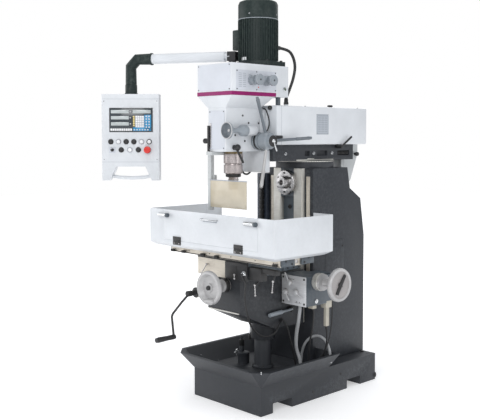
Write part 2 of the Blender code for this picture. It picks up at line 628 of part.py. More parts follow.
def make_rotor():
    """Pinion, shaft, rotor core and cooling fan, which turn as one."""
    fan = MOTOR_TOP + 0.030
    core = MOTOR_BOTTOM + 0.055
    thin = ROTOR_SHAFT_RADIUS
    steps = [(0.080, fan + 0.034), (0.080, fan), (thin, fan), (thin, MOTOR_TOP - 0.025), (0.057, MOTOR_TOP - 0.025),
             (0.057, core), (thin, core), (thin, GEAR_Z + GEAR_THICK), (PINION_RADIUS, GEAR_Z + GEAR_THICK),
             (PINION_RADIUS, GEAR_Z)]
    profile = [(0, fan + 0.034), *steps, (0, GEAR_Z)]
    profile = [(r, h - GEAR_Z) for r, h in profile]
    finish(turned(profile, (0, MOTOR_Y, GEAR_Z)), "motor_rotor", "steel")


def make_spindle_gear():
    bore = SPLINE_RADIUS + RUN
    ring = [(bore, GEAR_THICK + 0.008), (0.030, GEAR_THICK + 0.008), (0.030, GEAR_THICK), (GEAR_RADIUS, GEAR_THICK),
            (GEAR_RADIUS, 0), (bore, 0), (bore, GEAR_THICK + 0.008)]
    finish(turned(ring, (0, SPINDLE_Y, GEAR_Z), sides=FINE), "spindle_drive_gear", "steel")


def make_quill():
    bore, low = SPINDLE_RADIUS + RUN, COLLAR_TOP - COLLAR_HEIGHT
    height = CASING_BOTTOM - 0.036 - low
    sleeve = [(bore, height), (QUILL_RADIUS, height), (QUILL_RADIUS, COLLAR_HEIGHT), (COLLAR_RADIUS, COLLAR_HEIGHT),
              (COLLAR_RADIUS, 0), (bore, 0), (bore, height)]
    body = turned(sleeve, (0, SPINDLE_Y, low), sides=FINE)
    rod_y = HOUSING_FRONT - 0.0075
    lug = box((-0.0675, rod_y - 0.008, COLLAR_TOP - 0.018), (-0.026, SPINDLE_Y - 0.030, COLLAR_TOP))
    stop = rod((-0.060, rod_y, COLLAR_TOP - 0.010), (-0.060, rod_y, HOUSING_BOTTOM + 0.135), 0.006, 12)
    finish(fused(body, lug, stop), "quill_sleeve", "steel")
    base = CHUCK_TOP - CHUCK_HEIGHT + 0.006
    spline = CASING_TOP - 0.010 - base
    shaft = [(0, spline), (SPLINE_RADIUS, spline), (SPLINE_RADIUS, CASING_BOTTOM - 0.036 - base),
             (SPINDLE_RADIUS, CASING_BOTTOM - 0.040 - base), (SPINDLE_RADIUS, 0), (0, 0)]
    finish(turned(shaft, (0, SPINDLE_Y, base)), "spindle_shaft", "steel")
    total = CHUCK_HEIGHT + NOSE_HEIGHT
    seat, floor = SPINDLE_RADIUS + GAP, NOSE_HEIGHT + 0.006 - GAP
    chuck = [(0, floor), (seat, floor), (seat, total), (CHUCK_RADIUS, total), (CHUCK_RADIUS, NOSE_HEIGHT),
             (NOSE_RADIUS, NOSE_HEIGHT - 0.008), (NOSE_RADIUS, 0), (TOOL_RADIUS, 0), (TOOL_RADIUS, 0.045), (0, 0.045)]
    finish(turned(chuck, (0, SPINDLE_Y, CHUCK_BOTTOM), sides=FINE), "collet_chuck", "steel")


def make_feed_star():
    start = HOUSING_HALF_WIDTH + GAP
    radius = STAR_RADIUS
    hub = [(0, 0.117), (radius * 0.75, 0.117), (radius * 0.75, 0.100), (radius, 0.096), (radius, 0.012),
           (radius * 1.08, 0.010), (radius * 1.08, 0), (0, 0)]
    star = turned(hub, (start, STAR_Y, STAR_Z), X_AXIS)
    spokes = []
    for k in range(3):
        angle = math.radians(STAR_FIRST_DEG + 120 * k)
        out = Vector((0, math.cos(angle), math.sin(angle)))
        root = Vector((start + 0.079, STAR_Y, STAR_Z))
        spokes.append(rod(root + out * 0.015, root + out * STAR_REACH + X_AXIS * STAR_LEAN, SPOKE_RADIUS, 12))
    star = fused(star, *spokes)
    set_origin_keep(star, (start, STAR_Y, STAR_Z))
    finish(star, "quill_feed_star", "steel")


def make_fine_feed():
    bell = SPINDLE_Y - 0.0093
    spool = [(0, 0.126), (0.030, 0.126), (0.0425, 0.136), (0.0425, 0.122), (0.014, 0.098), (0.012, 0.045),
             (0.030, 0.030), (0.030, 0), (0, 0)]
    wheel = turned(spool, (FINE_X, bell, FINE_Z), -Y_AXIS)
    set_origin_keep(wheel, (FINE_X, bell, FINE_Z))
    finish(wheel, "fine_feed_wheel", "steel")


def make_speed_levers():
    start = CASING_HALF_WIDTH + GAP
    shape = [(0, 0.068), (0.019, 0.068), (0.019, 0.060), (0.007, 0.058), (0.007, 0.032), (0.024, 0.030), (0.026, 0.024),
             (0.026, 0), (0, 0)]
    leans = ((-0.036, 0.022), (0.040, 0.012))
    for name, y, lean in zip(("speed_lever_front", "speed_lever_rear"), SPEED_LEVER_Y, leans):
        pivot = Vector((start, y, SPEED_LEVER_Z))
        grip = rod(pivot + X_AXIS * 0.018, pivot + Vector((0.026, *lean)), 0.0035, 10)
        lever = fused(turned(shape, pivot, X_AXIS), grip)
        set_origin_keep(lever, pivot)
        finish(lever, name, "grey_paint")


def make_quill_clamp():
    pivot = Vector((HOUSING_HALF_WIDTH + GAP, -0.478, HOUSING_BOTTOM + 0.022))
    hub = rod(pivot, pivot + X_AXIS * 0.022, 0.013, 16)
    lever = fused(to_mesh(hub), rod(pivot + X_AXIS * 0.014, pivot + Vector((0.034, 0.034, -0.080)), 0.006, 12))
    set_origin_keep(lever, pivot)
    finish(lever, "quill_clamp_lever", "black_plastic")


GUARD_POST_X, GUARD_POST_Y = -0.0875, -0.500
SHIELD_BOTTOM, SHIELD_TOP = 1.057, 1.200
SHIELD_LENGTH = 0.288


def make_chuck_guard():
    half = 0.0120
    low, top = SHIELD_BOTTOM - 0.018, HOUSING_BOTTOM - 0.004
    post = box((GUARD_POST_X - half, GUARD_POST_Y - half, low), (GUARD_POST_X + half, GUARD_POST_Y + half, top))
    ear = box((GUARD_POST_X - half, GUARD_POST_Y - half, top - 0.01),
              (-HOUSING_HALF_WIDTH - GAP, GUARD_POST_Y + half, HOUSING_BOTTOM + 0.045))
    finish(fused(post, ear), "chuck_guard_post", "grey_paint")
    y = GUARD_POST_Y - half - GAP - 0.0015
    shield = box((GUARD_POST_X, y - 0.0015, SHIELD_BOTTOM), (GUARD_POST_X + SHIELD_LENGTH, y + 0.0015, SHIELD_TOP))
    set_origin_keep(shield, (GUARD_POST_X, y, SHIELD_BOTTOM))
    finish(shield, "chuck_shield", "clear_sheet")


# ---- pendant ----

def make_pendant_arm():
    start, end = Vector((*ARM_START, ARM_Z)), Vector((*ARM_END, ARM_Z))
    post_top = ARM_Z - ARM_RADIUS - 0.001
    finish(to_mesh(rod((*ARM_START, CASING_TOP + GAP), (*ARM_START, post_top - GAP), 0.020)), "pendant_pivot_post", "black_plastic")
    block = box((-0.0235, -0.0235, post_top - ARM_Z), (0.0235, 0.0235, ARM_RADIUS + 0.002))
    block.matrix_world = Matrix.Translation(start) @ Matrix.Rotation(math.radians(ARM_ANGLE_DEG), 4, "Z") @ block.matrix_world
    bend = 0.055
    back = Vector((*(-ARM_DIRECTION), 0))
    route = [start + Vector((*ARM_DIRECTION, 0)) * 0.01, end + back * bend, end + back * bend * 0.45 - Z_AXIS * 0.012,
             end + back * 0.008 - Z_AXIS * 0.034, end - Z_AXIS * 0.070, end - Z_AXIS * 0.136]
    arm = fused(to_mesh(block), tube(route, ARM_RADIUS, 4))
    set_origin_keep(arm, start)
    finish(arm, "pendant_arm", "light_paint")


def pendant_frame():
    """World placement of the pendant: local -Y faces the operator, local origin at the case's top centre."""
    return Matrix.Translation((*ARM_END, CASE_TOP)) @ Matrix.Rotation(math.radians(PENDANT_TURN_DEG), 4, "Z")


def placed(obj, frame):
    obj.data.transform(frame @ obj.matrix_world)
    obj.matrix_world = Matrix.Identity(4)
    return obj


def make_pendant():
    frame = pendant_frame()
    half, depth = PENDANT_WIDTH / 2, PENDANT_DEPTH / 2
    body_low = -PENDANT_HEIGHT + LEG_HEIGHT
    front = [(-half, 0), (-half, -PENDANT_HEIGHT), (-half + LEG_WIDTH * 0.8, -PENDANT_HEIGHT),
             (-half + LEG_WIDTH * 1.5, body_low), (half - LEG_WIDTH * 1.5, body_low),
             (half - LEG_WIDTH * 0.8, -PENDANT_HEIGHT), (half, -PENDANT_HEIGHT), (half, 0)]
    case = outline(front, -depth, depth, "Y")
    collar = rod((0, 0, -0.004), (0, 0, PENDANT_DROP - 0.136 - GAP), 0.030)
    grip_z, grip_x = -PENDANT_HEIGHT + 0.030, half - LEG_WIDTH * 0.5
    grip = tube([(-grip_x, 0, grip_z), (-grip_x * 0.55, 0, grip_z - 0.014), (0, 0, grip_z - 0.018),
                 (grip_x * 0.55, 0, grip_z - 0.014), (grip_x, 0, grip_z)], 0.010)
    case = placed(fused(case, collar, grip), frame)
    holes = [(x, -drop, BUTTON_RADIUS) for x, drop in button_places()] + [(STOP_X, -BUTTON_ROW_DROPS[1], 0.009)]
    tools = [placed(rod((x, -depth - 0.01, z), (x, -depth + 0.012, z), radius + RUN, 16), frame) for x, z, radius in holes]
    finish(cut(case, *tools), "pendant_case", "light_paint")


def button_places():
    return [(x, BUTTON_ROW_DROPS[0]) for x in TOP_ROW_X] + [(x, BUTTON_ROW_DROPS[1]) for x in LOW_ROW_X]


def make_pendant_controls():
    frame, face = pendant_frame(), -PENDANT_DEPTH / 2
    cap = [(0, BUTTON_PROUD), (BUTTON_RADIUS - 0.001, BUTTON_PROUD), (BUTTON_RADIUS, BUTTON_PROUD - 0.001),
           (BUTTON_RADIUS, -0.006), (0, -0.006)]
    for number, (x, drop) in enumerate(button_places(), 1):
        button = placed(turned(cap, (x, face, -drop), -Y_AXIS, 16), frame)
        set_origin_keep(button, frame @ Vector((x, face, -drop)))
        finish(button, f"push_button_{number}", "white_plastic")
    stem = 0.009
    mushroom = [(0, 0.026), (STOP_RADIUS - 0.004, 0.026), (STOP_RADIUS, 0.021), (STOP_RADIUS, 0.010), (stem, 0.008),
                (stem, -0.006), (0, -0.006)]
    place = (STOP_X, face, -BUTTON_ROW_DROPS[1])
    stop = placed(turned(mushroom, place, -Y_AXIS), frame)
    set_origin_keep(stop, frame @ Vector(place))
    finish(stop, "emergency_stop", "red_plastic")
    place = Vector((JOG_X, face - GAP, -BUTTON_ROW_DROPS[1]))
    knob = fused(turned([(0, 0.010), (0.008, 0.010), (0.010, 0.006), (0.010, 0), (0, 0)], place, -Y_AXIS, 16),
                 rod(place - Y_AXIS * 0.006, place + Vector((0, -0.026, 0.010)), 0.0035, 10))
    knob = placed(knob, frame)
    set_origin_keep(knob, frame @ place)
    finish(knob, "jog_lever", "black_plastic")


# ---- knee ----

def make_knee():
    rear = WAY_FACE - GAP
    side = [(KNEE_FRONT, KNEE_TOP), (KNEE_FRONT, KNEE_TOP - KNEE_FRONT_DEPTH), (SCREW_Y - 0.046, KNEE_TOP - KNEE_REAR_DEPTH + 0.010),
            (rear, KNEE_TOP - KNEE_REAR_DEPTH), (rear, KNEE_TOP)]
    body = outline(side, -KNEE_HALF_WIDTH, KNEE_HALF_WIDTH, "X")
    boss = rod((0, SCREW_Y, BOSS_BOTTOM), (0, SCREW_Y, KNEE_TOP - 0.200), BOSS_RADIUS)
    body = fused(body, boss)
    bore = rod((0, SCREW_Y, BOSS_BOTTOM - 0.02), (0, SCREW_Y, KNEE_TOP - 0.168), PEDESTAL_RADIUS + 0.001)
    trough = box((CROSS_X - 0.040, KNEE_FRONT + 0.020, CROSS_Z - 0.050), (CROSS_X + 0.040, rear - 0.030, KNEE_TOP + 0.02))
    hole = rod((CROSS_X, KNEE_FRONT - 0.02, CROSS_Z), (CROSS_X, KNEE_FRONT + 0.03, CROSS_Z), CROSS_SCREW_RADIUS + RUN)
    crank_hole = rod((CRANK_X, KNEE_FRONT - 0.02, CRANK_Z), (CRANK_X, KNEE_FRONT + 0.04, CRANK_Z), 0.009 + RUN)
    finish(cut(body, bore, trough, hole, crank_hole), "knee_casting", "dark_paint")
    top, length = KNEE_TOP - 0.168 - GAP, 0.320
    screw = [(0, length), (LIFT_SCREW_RADIUS, length), (LIFT_SCREW_RADIUS, 0), (0, 0)]
    finish(turned(screw, (0, SCREW_Y, top - length)), "knee_leadscrew", "steel")


def make_gearbox():
    left = KNEE_HALF_WIDTH + GAP
    right = left + GEARBOX_WIDTH
    body = box((left, GEARBOX_FRONT, GEARBOX_BOTTOM), (right, WAY_FACE - 0.010, GEARBOX_TOP))
    tail = box((COLUMN_HALF_WIDTH + 0.012, WAY_FACE - 0.02, GEARBOX_BOTTOM + 0.01), (right, GEARBOX_BACK, GEARBOX_TOP - 0.005))
    finish(fused(body, tail), "feed_gearbox", "grey_paint")
    levers = (((0.063, -0.040), (-0.022, 0.053)), ((0.034, -0.094), (0.037, -0.042)), ((0.111, -0.089), (0.052, -0.027)))
    shape = [(0, 0.020), (0.012, 0.020), (0.016, 0.014), (0.016, 0), (0, 0)]
    for number, ((across, down), (tip_x, tip_z)) in enumerate(levers, 1):
        pivot = Vector((left + across, GEARBOX_FRONT - GAP, GEARBOX_TOP + down))
        lever = fused(turned(shape, pivot, -Y_AXIS, 16),
                      rod(pivot - Y_AXIS * 0.012, pivot + Vector((tip_x, -0.020, tip_z)), 0.004, 10))
        set_origin_keep(lever, pivot)
        finish(lever, f"feed_lever_{number}", "machined")


def wheel_profile(standoff, collar, bore):
    """A dished handwheel from its rim back to the dial at its foot, with a bore through it."""
    r = WHEEL_RADIUS
    return [(bore, standoff + 0.004), (0.022, standoff + 0.004), (0.024, standoff - 0.004), (r - 0.028, standoff - 0.010),
            (r - 0.016, standoff + 0.012), (r - 0.004, standoff + 0.014), (r, standoff + 0.006), (r, standoff - 0.006),
            (r - 0.006, standoff - 0.012), (r - 0.030, standoff - 0.018), (0.020, standoff - 0.022), (0.020, 0.052),
            (collar, 0.050), (collar, 0), (bore, 0), (bore, standoff + 0.004)]


def make_handwheels():
    foot = KNEE_FRONT - GAP
    pivot = Vector((CROSS_X, foot, CROSS_Z))
    standoff = foot - CROSS_WHEEL_Y
    profile = wheel_profile(standoff, 0.034, CROSS_SCREW_RADIUS + GAP)
    wheel = fused(turned(profile, pivot, -Y_AXIS, FINE),
                  rod(pivot + Vector((-0.020, -standoff - 0.014, -0.068)), pivot + Vector((0.046, -standoff - 0.014, -0.062)), 0.008, 12))
    set_origin_keep(wheel, pivot)
    finish(wheel, "cross_handwheel", "machined")
    screw = rod((CROSS_X, CROSS_WHEEL_Y + 0.004, CROSS_Z), (CROSS_X, WAY_FACE - GAP - 0.032, CROSS_Z), CROSS_SCREW_RADIUS)
    finish(to_mesh(screw), "cross_leadscrew", "steel")
    start = Vector((KNEE_HALF_WIDTH + 2 * GAP + GEARBOX_WIDTH, TABLE_WHEEL_Y, TABLE_WHEEL_Z))
    profile = wheel_profile(TABLE_WHEEL_STANDOFF, 0.044, 0)
    profile = profile[:-1]
    grip = Vector((TABLE_WHEEL_STANDOFF + 0.009, 0.034, 0.046))
    wheel = fused(turned(profile, start, X_AXIS, FINE), rod(start + grip, start + grip + Vector((0, -0.064, -0.098)), 0.009, 12))
    set_origin_keep(wheel, start)
    finish(wheel, "table_handwheel", "machined")


def make_crank():
    pivot = Vector((CRANK_X, KNEE_FRONT - GAP, CRANK_Z))
    shaft = [(0, 0.168), (0.011, 0.168), (0.013, 0.140), (0.013, 0.112), (0.027, 0.110), (0.027, 0.086), (0.009, 0.084),
             (0.009, -0.036), (0, -0.036)]
    hub = turned(shaft, pivot, -Y_AXIS)
    low = pivot + Vector((0, -0.255, -CRANK_ARM))
    arm = tube([pivot + Vector((0, -0.146, 0.004)), pivot + Vector((0, -0.200, -0.036)), pivot + Vector((0, -0.262, -0.090)),
                pivot + Vector((0, -0.268, -0.104)), low + Vector((0, -0.002, 0.010)), low + Vector((0, 0, -0.006))], 0.006)
    grip = turned([(0, 0.118), (0.009, 0.118), (0.0125, 0.096), (0.0095, 0.030), (0.011, 0), (0, 0)],
                  low + Y_AXIS * 0.006, -Y_AXIS, 16)
    crank = fused(hub, arm, grip)
    set_origin_keep(crank, pivot)
    finish(crank, "knee_crank", "steel")


# ---- saddle, table and guard ----

SADDLE_WING_X, SADDLE_WING_BOTTOM = 0.130, 0.716  # the right wing passes above the upper feed lever


def make_saddle():
    block = box((-SADDLE_HALF_WIDTH, SADDLE_FRONT, SADDLE_BOTTOM), (SADDLE_HALF_WIDTH, SADDLE_REAR, SADDLE_TOP))
    inner = CHANNEL_WIDTH / 2 - 0.002
    nut = box((-0.035, TABLE_MID_Y - inner, SADDLE_TOP - 0.01), (0.035, TABLE_MID_Y + inner, TABLE_BOTTOM + CHANNEL_HEIGHT - 0.002))
    cross_nut = box((CROSS_X - 0.028, -0.370, CROSS_Z - 0.030), (CROSS_X + 0.028, -0.325, SADDLE_BOTTOM + 0.01))
    body = fused(block, nut, cross_nut)
    nut_bore = rod((-0.06, TABLE_MID_Y, FEED_SCREW_Z), (0.06, TABLE_MID_Y, FEED_SCREW_Z), FEED_SCREW_RADIUS + RUN)
    cross_bore = rod((CROSS_X, -0.39, CROSS_Z), (CROSS_X, -0.30, CROSS_Z), CROSS_SCREW_RADIUS + RUN)
    lever_room = box((SADDLE_WING_X, SADDLE_FRONT - 0.02, SADDLE_BOTTOM - 0.02), (SADDLE_HALF_WIDTH + 0.02, SADDLE_REAR + 0.02, SADDLE_WING_BOTTOM))
    finish(cut(body, nut_bore, cross_bore, lever_room), "saddle", "bare_iron")


def make_table():
    half = TABLE_HALF_LENGTH
    rear = TABLE_FRONT + TABLE_WIDTH
    body = box((-half, TABLE_FRONT, TABLE_BOTTOM), (half, rear, TABLE_TOP))
    tools = [box((-half + 0.030, TABLE_MID_Y - CHANNEL_WIDTH / 2, TABLE_BOTTOM - 0.02),
                 (half - 0.030, TABLE_MID_Y + CHANNEL_WIDTH / 2, TABLE_BOTTOM + CHANNEL_HEIGHT)),
             rod((-half - 0.02, TABLE_MID_Y, FEED_SCREW_Z), (half + 0.02, TABLE_MID_Y, FEED_SCREW_Z), FEED_SCREW_RADIUS + RUN)]
    for k in (-1, 0, 1):
        y, wide = TABLE_MID_Y + k * TSLOT_PITCH, TSLOT_WIDTH / 2
        tools.append(box((-half - 0.02, y - wide, TABLE_TOP - TSLOT_DEPTH), (half + 0.02, y + wide, TABLE_TOP + 0.02)))
        tools.append(box((-half - 0.03, y - wide * 1.7, TABLE_TOP - TSLOT_DEPTH - 0.001),
                         (half + 0.03, y + wide * 1.7, TABLE_TOP - TSLOT_DEPTH + 0.009)))
    finish(cut(body, *tools), "table", "bare_iron")
    screw = rod((-half + 0.002, TABLE_MID_Y, FEED_SCREW_Z), (half - 0.002, TABLE_MID_Y, FEED_SCREW_Z), FEED_SCREW_RADIUS, 16)
    finish(to_mesh(screw), "table_leadscrew", "steel")


def make_guard():
    half, sheet = GUARD_HALF_LENGTH, GUARD_SHEET
    body = box((-half, GUARD_FRONT, GUARD_BOTTOM), (half, GUARD_REAR, GUARD_TOP))
    inside = box((-half + sheet, GUARD_FRONT + sheet, GUARD_BOTTOM + sheet), (half - sheet, GUARD_REAR - sheet, GUARD_TOP + 0.02))
    hole = box((-TABLE_HALF_LENGTH - GAP, TABLE_FRONT - GAP, GUARD_BOTTOM - 0.02),
               (TABLE_HALF_LENGTH + GAP, TABLE_FRONT + TABLE_WIDTH + GAP, GUARD_BOTTOM + 0.02))
    back = box((-half + GUARD_RETURN, GUARD_REAR - 0.02, GUARD_BOTTOM + 0.030), (half - GUARD_RETURN, GUARD_REAR + 0.02, GUARD_TOP + 0.02))
    sill = GUARD_BOTTOM + DOOR_SILL
    opening = box((-DOOR_HALF - RUN, GUARD_FRONT - 0.02, sill), (DOOR_HALF + 0.001, GUARD_FRONT + 0.02, GUARD_TOP + 0.02))
    finish(cut(body, inside, hole, back, opening), "splash_guard", "light_paint")
    door = box((-DOOR_HALF, GUARD_FRONT, sill + RUN), (DOOR_HALF, GUARD_FRONT + sheet, GUARD_TOP))
    set_origin_keep(door, (0, GUARD_FRONT, sill + RUN))
    finish(door, "splash_door", "light_paint")


clear_scene()
PARTS = new_collection("Vertical milling machine")
CUTTERS = new_collection("Cutters")
CUTTERS.hide_render = True
for make in (make_base, make_column, make_pedestal, make_cabinet, make_horizontal_spindle, make_cables, make_turret, make_ram,
             make_ram_clamp, make_casing, make_housing, make_motor, make_rotor, make_spindle_gear, make_quill, make_feed_star,
             make_fine_feed, make_speed_levers, make_quill_clamp, make_chuck_guard, make_pendant_arm, make_pendant,
             make_pendant_controls, make_knee, make_gearbox, make_handwheels, make_crank, make_saddle, make_table, make_guard):
    make()
for piece in PARTS.objects:
    shade_round(piece)
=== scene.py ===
"""Looks for the vertical milling machine: finishes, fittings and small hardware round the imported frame."""

import math

import bmesh
import bpy
from mathutils import Matrix, Vector


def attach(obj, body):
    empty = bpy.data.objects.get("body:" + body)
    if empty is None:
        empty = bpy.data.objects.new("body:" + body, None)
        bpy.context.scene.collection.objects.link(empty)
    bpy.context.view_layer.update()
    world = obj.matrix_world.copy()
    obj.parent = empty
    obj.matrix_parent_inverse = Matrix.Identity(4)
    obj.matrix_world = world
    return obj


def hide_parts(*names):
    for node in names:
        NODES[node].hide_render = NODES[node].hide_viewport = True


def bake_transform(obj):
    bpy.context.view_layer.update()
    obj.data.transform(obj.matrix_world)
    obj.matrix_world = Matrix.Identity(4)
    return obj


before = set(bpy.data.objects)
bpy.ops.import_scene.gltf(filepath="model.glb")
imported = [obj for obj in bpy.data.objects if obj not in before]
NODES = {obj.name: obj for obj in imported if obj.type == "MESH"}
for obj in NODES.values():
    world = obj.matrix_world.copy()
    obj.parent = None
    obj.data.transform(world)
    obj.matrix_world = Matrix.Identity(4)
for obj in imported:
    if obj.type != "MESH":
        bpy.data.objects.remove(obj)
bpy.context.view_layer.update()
X, Y, Z = Vector((1, 0, 0)), Vector((0, 1, 0)), Vector((0, 0, 1))


# ---- camera, light and floor ----

def set_camera():
    data = bpy.data.cameras.new("Camera")
    camera = bpy.data.objects.new("Camera", data)
    bpy.context.scene.collection.objects.link(camera)
    camera.location = (3.1732, -3.3584, 1.4232)
    camera.rotation_euler = (math.radians(90 - 3.08), 0, math.radians(45.5))
    data.sensor_width, data.lens = 36, 61.47
    data.shift_x, data.shift_y = -0.0367, -0.0599
    data.clip_end = 60
    bpy.context.scene.camera = camera


def softbox(name, place, target, size, power):
    data = bpy.data.lights.new(name, "AREA")
    data.shape, data.size, data.size_y, data.energy = "RECTANGLE", size[0], size[1], power
    lamp = bpy.data.objects.new(name, data)
    bpy.context.scene.collection.objects.link(lamp)
    lamp.location = place
    lamp.rotation_euler = (Vector(target) - Vector(place)).to_track_quat("-Z", "Y").to_euler()


def set_studio():
    bpy.context.scene.view_settings.view_transform = "Standard"
    world = bpy.data.worlds.new("Studio")
    bpy.context.scene.world = world
    world.use_nodes = True
    tree = world.node_tree
    light, out = tree.nodes["Background"], tree.nodes["World Output"]
    light.inputs["Color"].default_value = (0.93, 0.96, 1.0, 1)
    light.inputs["Strength"].default_value = 0.5
    seen = tree.nodes.new("ShaderNodeBackground")
    seen.inputs["Color"].default_value = (1, 1, 1, 1)
    path, mix, pick = (tree.nodes.new(kind) for kind in ("ShaderNodeLightPath", "ShaderNodeMixShader",
                                                         "ShaderNodeMath"))
    pick.operation = "MAXIMUM"
    tree.links.new(path.outputs["Is Camera Ray"], pick.inputs[0])
    tree.links.new(path.outputs["Is Transmission Ray"], pick.inputs[1])
    tree.links.new(pick.outputs[0], mix.inputs["Fac"])
    tree.links.new(light.outputs[0], mix.inputs[1])
    tree.links.new(seen.outputs[0], mix.inputs[2])
    tree.links.new(mix.outputs[0], out.inputs["Surface"])
    softbox("Key", (2.6, -4.6, 3.6), (0, -0.1, 1.0), (2.4, 2.4), 92)
    softbox("Side", (4.6, 0.4, 2.4), (0, 0, 1.1), (1.8, 2.6), 28)
    softbox("Fill", (-3.6, -2.6, 2.4), (0, -0.1, 1.1), (2.6, 2.6), 46)
    softbox("Rim", (-1.5, 3.6, 3.4), (0, 0, 1.2), (2.4, 2.0), 36)
    softbox("Top", (0.3, -0.6, 4.6), (0, 0, 1.0), (2.6, 2.6), 40)
    bpy.ops.object.select_all(action="DESELECT")
    bpy.ops.mesh.primitive_plane_add(size=30, location=(0, 0, -0.0005))
    floor = bpy.context.object
    floor.name = "studio_floor"
    material = bpy.data.materials.new("studio floor")
    material.use_nodes = True
    tree = material.node_tree
    shader = tree.nodes["Principled BSDF"]
    shader.inputs["Base Color"].default_value = (0.86, 0.86, 0.87, 1)
    shader.inputs["Roughness"].default_value = 0.9
    shader.inputs["Specular IOR Level"].default_value = 0.1
    shader.inputs["Emission Color"].default_value = (1, 1, 1, 1)
    place, reach, fade = (tree.nodes.new(kind) for kind in ("ShaderNodeTexCoord", "ShaderNodeVectorMath",
                                                            "ShaderNodeMapRange"))
    reach.operation = "LENGTH"
    for socket, value in zip(("From Min", "From Max", "To Min", "To Max"), (1.0, 3.5, 0.38, 0.8)):
        fade.inputs[socket].default_value = value
    tree.links.new(place.outputs["Object"], reach.inputs[0])
    tree.links.new(reach.outputs["Value"], fade.inputs["Value"])
    tree.links.new(fade.outputs["Result"], shader.inputs["Emission Strength"])
    floor.data.materials.append(material)


# ---- shared shader groups ----

def new_group(name, inputs, outputs):
    group = bpy.data.node_groups.new(name, "ShaderNodeTree")
    for direction, sockets in (("INPUT", inputs), ("OUTPUT", outputs)):
        for socket, value in sockets:
            made = group.interface.new_socket(socket, in_out=direction, socket_type="NodeSocket" + value[0])
            if len(value) > 1:
                made.default_value = value[1]
    return group, group.nodes.new("NodeGroupInput"), group.nodes.new("NodeGroupOutput")


def noise(group, vector, scale, detail=4.0, rough=0.55, stretch=None):
    """A noise texture read from a vector socket, drawn out along an axis where stretch is given."""
    if stretch:
        mapping = group.nodes.new("ShaderNodeMapping")
        mapping.inputs["Scale"].default_value = stretch
        group.links.new(vector, mapping.inputs["Vector"])
        vector = mapping.outputs["Vector"]
    node = group.nodes.new("ShaderNodeTexNoise")
    node.inputs["Scale"].default_value = scale
    node.inputs["Detail"].default_value = detail
    node.inputs["Roughness"].default_value = rough
    group.links.new(vector, node.inputs["Vector"])
    return node.outputs["Fac"]


def ramp(group, value, low, high, to_low=0.0, to_high=1.0):
    node = group.nodes.new("ShaderNodeMapRange")
    for name, number in zip(("From Min", "From Max", "To Min", "To Max"), (low, high, to_low, to_high)):
        node.inputs[name].default_value = number
    group.links.new(value, node.inputs["Value"])
    return node.outputs["Result"]


def math_node(group, kind, first, second):
    node = group.nodes.new("ShaderNodeMath")
    node.operation = kind
    for socket, value in zip(node.inputs, (first, second)):
        if isinstance(value, (int, float)):
            socket.default_value = value
        else:
            group.links.new(value, socket)
    return node.outputs[0]


def product(group, first, second):
    return math_node(group, "MULTIPLY", first, second)


def total(group, first, second):
    return math_node(group, "ADD", first, second)


def shaded(group, colour, value):
    """A colour made lighter or darker by a value."""
    shade = group.nodes.new("ShaderNodeHueSaturation")
    group.links.new(colour, shade.inputs["Color"])
    group.links.new(value, shade.inputs["Value"])
    return shade.outputs["Color"]


def mix_rgba(group, factor, first, second):
    """Mixes two colours. Mix nodes list their sockets by type, so the colour ones are found by identifier."""
    node = group.nodes.new("ShaderNodeMix")
    node.data_type = "RGBA"
    sockets = {socket.identifier: socket for socket in node.inputs}
    group.links.new(factor, sockets["Factor_Float"])
    for socket, value in ((sockets["A_Color"], first), (sockets["B_Color"], second)):
        if isinstance(value, tuple):
            socket.default_value = value
        else:
            group.links.new(value, socket)
    return next(socket for socket in node.outputs if socket.identifier == "Result_Color")


FINISH = (("Colour", ("Color",)), ("Roughness", ("Float",)), ("Height", ("Float",)))


def build_enamel():
    """Sprayed paint with orange peel, faint patchiness, rubbed edges and settled dust."""
    inputs = (("Vector", ("Vector",)), ("Colour", ("Color",)), ("Rubbed Colour", ("Color",)),
              ("Rub", ("Float", 0.5)), ("Dust", ("Float", 0.2)), ("Gloss", ("Float", 0.35)))
    group, put, out = new_group("Enamel", inputs, FINISH)
    vector = put.outputs["Vector"]
    patch = noise(group, vector, 6.0, 3.0)
    peel = noise(group, vector, 420.0, 2.0)
    scuff = noise(group, vector, 60.0, 6.0, 0.7)
    geometry = group.nodes.new("ShaderNodeNewGeometry")
    edge = ramp(group, geometry.outputs["Pointiness"], 0.515, 0.6)
    worn = product(group, product(group, edge, ramp(group, scuff, 0.45, 0.62)), put.outputs["Rub"])
    split = group.nodes.new("ShaderNodeSeparateXYZ")
    group.links.new(geometry.outputs["Normal"], split.inputs[0])
    settled = product(group, ramp(group, split.outputs["Z"], 0.55, 1.0), ramp(group, patch, 0.35, 0.7))
    dusty = product(group, settled, put.outputs["Dust"])
    shade = shaded(group, put.outputs["Colour"], ramp(group, patch, 0.3, 0.7, 0.94, 1.05))
    colour = mix_rgba(group, dusty, shade, (0.42, 0.4, 0.37, 1))
    group.links.new(mix_rgba(group, worn, colour, put.outputs["Rubbed Colour"]), out.inputs["Colour"])
    base = total(group, put.outputs["Gloss"], ramp(group, patch, 0.3, 0.7, -0.04, 0.06))
    base = total(group, base, ramp(group, scuff, 0.3, 0.7, -0.03, 0.05))
    group.links.new(total(group, base, product(group, dusty, 0.4)), out.inputs["Roughness"])
    group.links.new(total(group, product(group, peel, 0.35), product(group, patch, 0.4)),
                    out.inputs["Height"])


